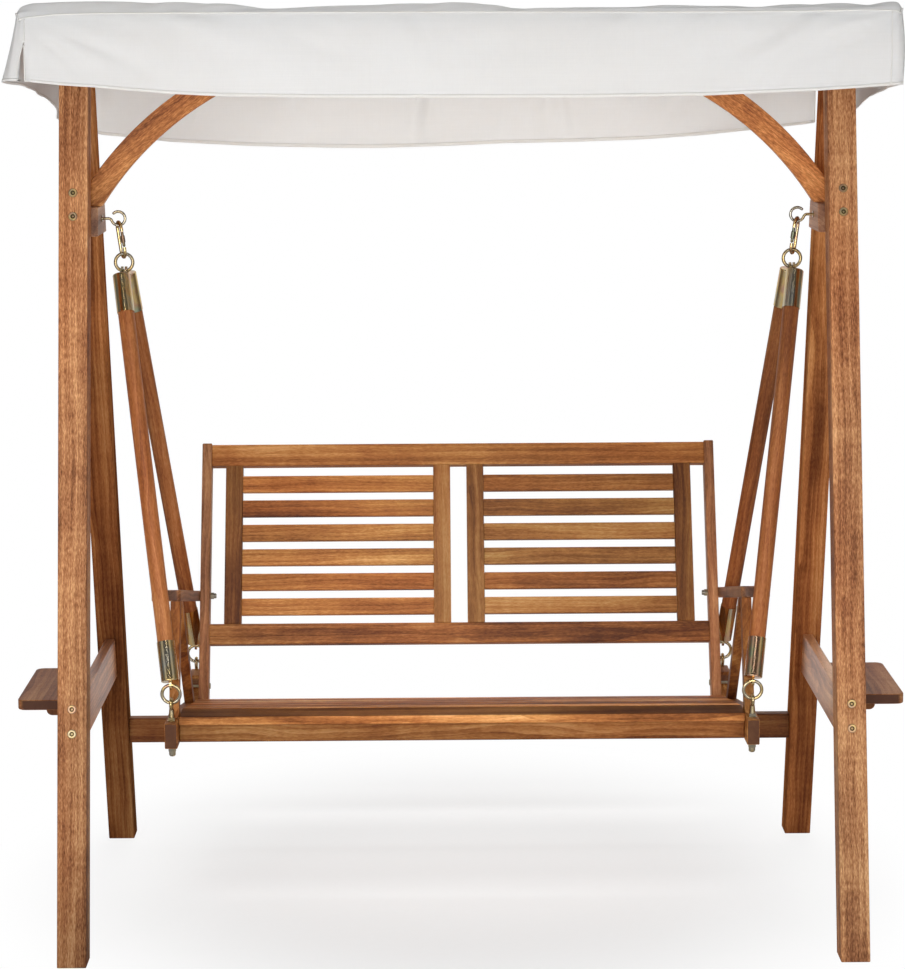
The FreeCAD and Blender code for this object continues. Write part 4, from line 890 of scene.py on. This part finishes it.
# ------------------------------------------------------------------ floor, world and lights
def floor_material():
    t = Tree("floor_white")
    p = t.coords()
    s = t.node("ShaderNodeSeparateXYZ")
    t.link(p, s.inputs[0])
    a = t.math("DIVIDE", s.outputs[0], 0.98)
    b = t.math("SUBTRACT", s.outputs[1], 0.15)
    d = t.math("SQRT", t.math("ADD", t.math("MULTIPLY", a, a), t.math("MULTIPLY", b, b)))
    # painted light and shadow: camera rays see the floor glow white, and the glow's share falls from 1.0 far out to
    # 0.56 near the bench, painting a soft darker pool there over the lit floor
    k = t.remap(d, 0.42, 1.12, 0.56, 1.0, smooth=True)
    grain = t.noise(p, 60.0, 2.0, 0.5)
    col = t.mix(t.remap(grain, 0.4, 0.6, 0.0, 1.0), (0.905, 0.905, 0.900), (0.915, 0.915, 0.912))
    t.link(col, t.bsdf.inputs["Base Color"])
    t.bsdf.inputs["Roughness"].default_value = 0.85
    t.bsdf.inputs["Specular IOR Level"].default_value = 0.1
    em = t.node("ShaderNodeEmission")
    em.inputs["Color"].default_value = (1, 1, 1, 1)
    em.inputs["Strength"].default_value = 1.0
    ms = t.node("ShaderNodeMixShader")
    t.link(t.math("MULTIPLY", k, t.node("ShaderNodeLightPath").outputs["Is Camera Ray"]), ms.inputs[0])
    t.link(t.bsdf.outputs[0], ms.inputs[1])
    t.link(em.outputs[0], ms.inputs[2])
    t.link(ms.outputs[0], t.out.inputs["Surface"])
    return t.mat


bm = bmesh.new()
bmesh.ops.create_circle(bm, cap_ends=True, segments=96, radius=14.0)
me = bpy.data.meshes.new("floor")
bm.to_mesh(me)
bm.free()
me.materials.append(floor_material())
floor = bpy.data.objects.new("floor", me)
floor.location = (0, 0, -0.0006)
scene.collection.objects.link(floor)

world = bpy.data.worlds.new("studio")
scene.world = world
world.use_nodes = True
wt = world.node_tree
wt.nodes.clear()
wo = wt.nodes.new("ShaderNodeOutputWorld")
lp = wt.nodes.new("ShaderNodeLightPath")
seen = wt.nodes.new("ShaderNodeBackground")
seen.inputs["Color"].default_value = (1, 1, 1, 1)
seen.inputs["Strength"].default_value = 1.0
lit = wt.nodes.new("ShaderNodeBackground")
tc = wt.nodes.new("ShaderNodeTexCoord")
sp = wt.nodes.new("ShaderNodeSeparateXYZ")
wt.links.new(tc.outputs["Generated"], sp.inputs[0])
rp = wt.nodes.new("ShaderNodeValToRGB")
mr = wt.nodes.new("ShaderNodeMapRange")
mr.inputs["From Min"].default_value, mr.inputs["From Max"].default_value = -1.0, 1.0
wt.links.new(sp.outputs[1], mr.inputs["Value"])
wt.links.new(mr.outputs[0], rp.inputs[0])
els = rp.color_ramp.elements
els[0].position, els[0].color = 0.0, (0.46, 0.46, 0.46, 1)
els[1].position, els[1].color = 1.0, (0.34, 0.34, 0.345, 1)
e = els.new(0.35); e.color = (0.24, 0.24, 0.243, 1)
e = els.new(0.60); e.color = (0.20, 0.20, 0.203, 1)
wt.links.new(rp.outputs[0], lit.inputs["Color"])
roofed = wt.nodes.new("ShaderNodeMapRange")
roofed.inputs["From Min"].default_value, roofed.inputs["From Max"].default_value = 0.05, 0.75
roofed.inputs["To Min"].default_value, roofed.inputs["To Max"].default_value = 1.15, 0.45
wt.links.new(sp.outputs[2], roofed.inputs["Value"])
wt.links.new(roofed.outputs[0], lit.inputs["Strength"])
# what polished metal mirrors: a dim room with pale walls at the far left and right
mirror = wt.nodes.new("ShaderNodeBackground")
ab = wt.nodes.new("ShaderNodeMath"); ab.operation = "ABSOLUTE"
wt.links.new(sp.outputs[0], ab.inputs[0])
rm = wt.nodes.new("ShaderNodeValToRGB")
wt.links.new(ab.outputs[0], rm.inputs[0])
els = rm.color_ramp.elements
els[0].position, els[0].color = 0.0, (0.12, 0.12, 0.12, 1)
els[1].position, els[1].color = 1.0, (0.16, 0.16, 0.16, 1)
for pos, val in ((0.30, 0.09), (0.52, 0.06), (0.64, 0.55), (0.80, 0.62), (0.90, 0.20)):
    e = els.new(pos); e.color = (val, val, val, 1)
far = wt.nodes.new("ShaderNodeMapRange")
far.interpolation_type = "SMOOTHSTEP"
far.inputs["From Min"].default_value, far.inputs["From Max"].default_value = 0.35, 0.80
wt.links.new(sp.outputs[1], far.inputs["Value"])
fm = wt.nodes.new("ShaderNodeMix")
fm.data_type = "RGBA"
wt.links.new(far.outputs[0], fm.inputs[0])
wt.links.new(rm.outputs[0], fm.inputs[6])
fm.inputs[7].default_value = (0.85, 0.85, 0.86, 1)
wt.links.new(fm.outputs[2], mirror.inputs["Color"])
m2 = wt.nodes.new("ShaderNodeMixShader")
wt.links.new(lp.outputs["Is Glossy Ray"], m2.inputs[0])
wt.links.new(lit.outputs[0], m2.inputs[1])
wt.links.new(mirror.outputs[0], m2.inputs[2])
mx = wt.nodes.new("ShaderNodeMixShader")
wt.links.new(lp.outputs["Is Camera Ray"], mx.inputs[0])
wt.links.new(m2.outputs[0], mx.inputs[1])
wt.links.new(seen.outputs[0], mx.inputs[2])
wt.links.new(mx.outputs[0], wo.inputs["Surface"])


def area(name, place, aim, size, power, colour=(1, 1, 1), spread=180):
    d = bpy.data.lights.new(name, "AREA")
    d.shape = "RECTANGLE"
    d.size, d.size_y = size
    d.energy = power
    d.color = colour
    d.spread = math.radians(spread)
    o = bpy.data.objects.new(name, d)
    o.location = place
    o.rotation_mode = "QUATERNION"
    o.rotation_quaternion = (Vector(aim) - Vector(place)).to_track_quat("-Z", "Y")
    o.visible_camera = False
    scene.collection.objects.link(o)
    return o


area("key", (-2.6, -5.0, 1.55), (0, 0, 1.3), (2.4, 1.6), 62)
area("front", (-0.2, -6.0, 1.1), (0, 0, 1.3), (3.2, 1.3), 96)
area("fill", (2.6, -4.8, 1.4), (0, 0, 1.2), (1.8, 1.8), 42)
area("bench", (-0.2, -2.5, 2.75), (0, 0.0, 0.55), (1.4, 0.5), 2.7, spread=36)
area("top", (0.3, 2.4, 4.3), (0, 0.0, 1.7), (4.0, 3.2), 52).visible_glossy = False
area("roof", (0.0, 1.1, 4.2), (0, 0.08, 1.88), (1.5, 0.5), 1.7, spread=40).visible_glossy = False
area("rear", (0.6, 5.0, 2.0), (0, 0, 1.4), (3.8, 3.4), 150).visible_glossy = False
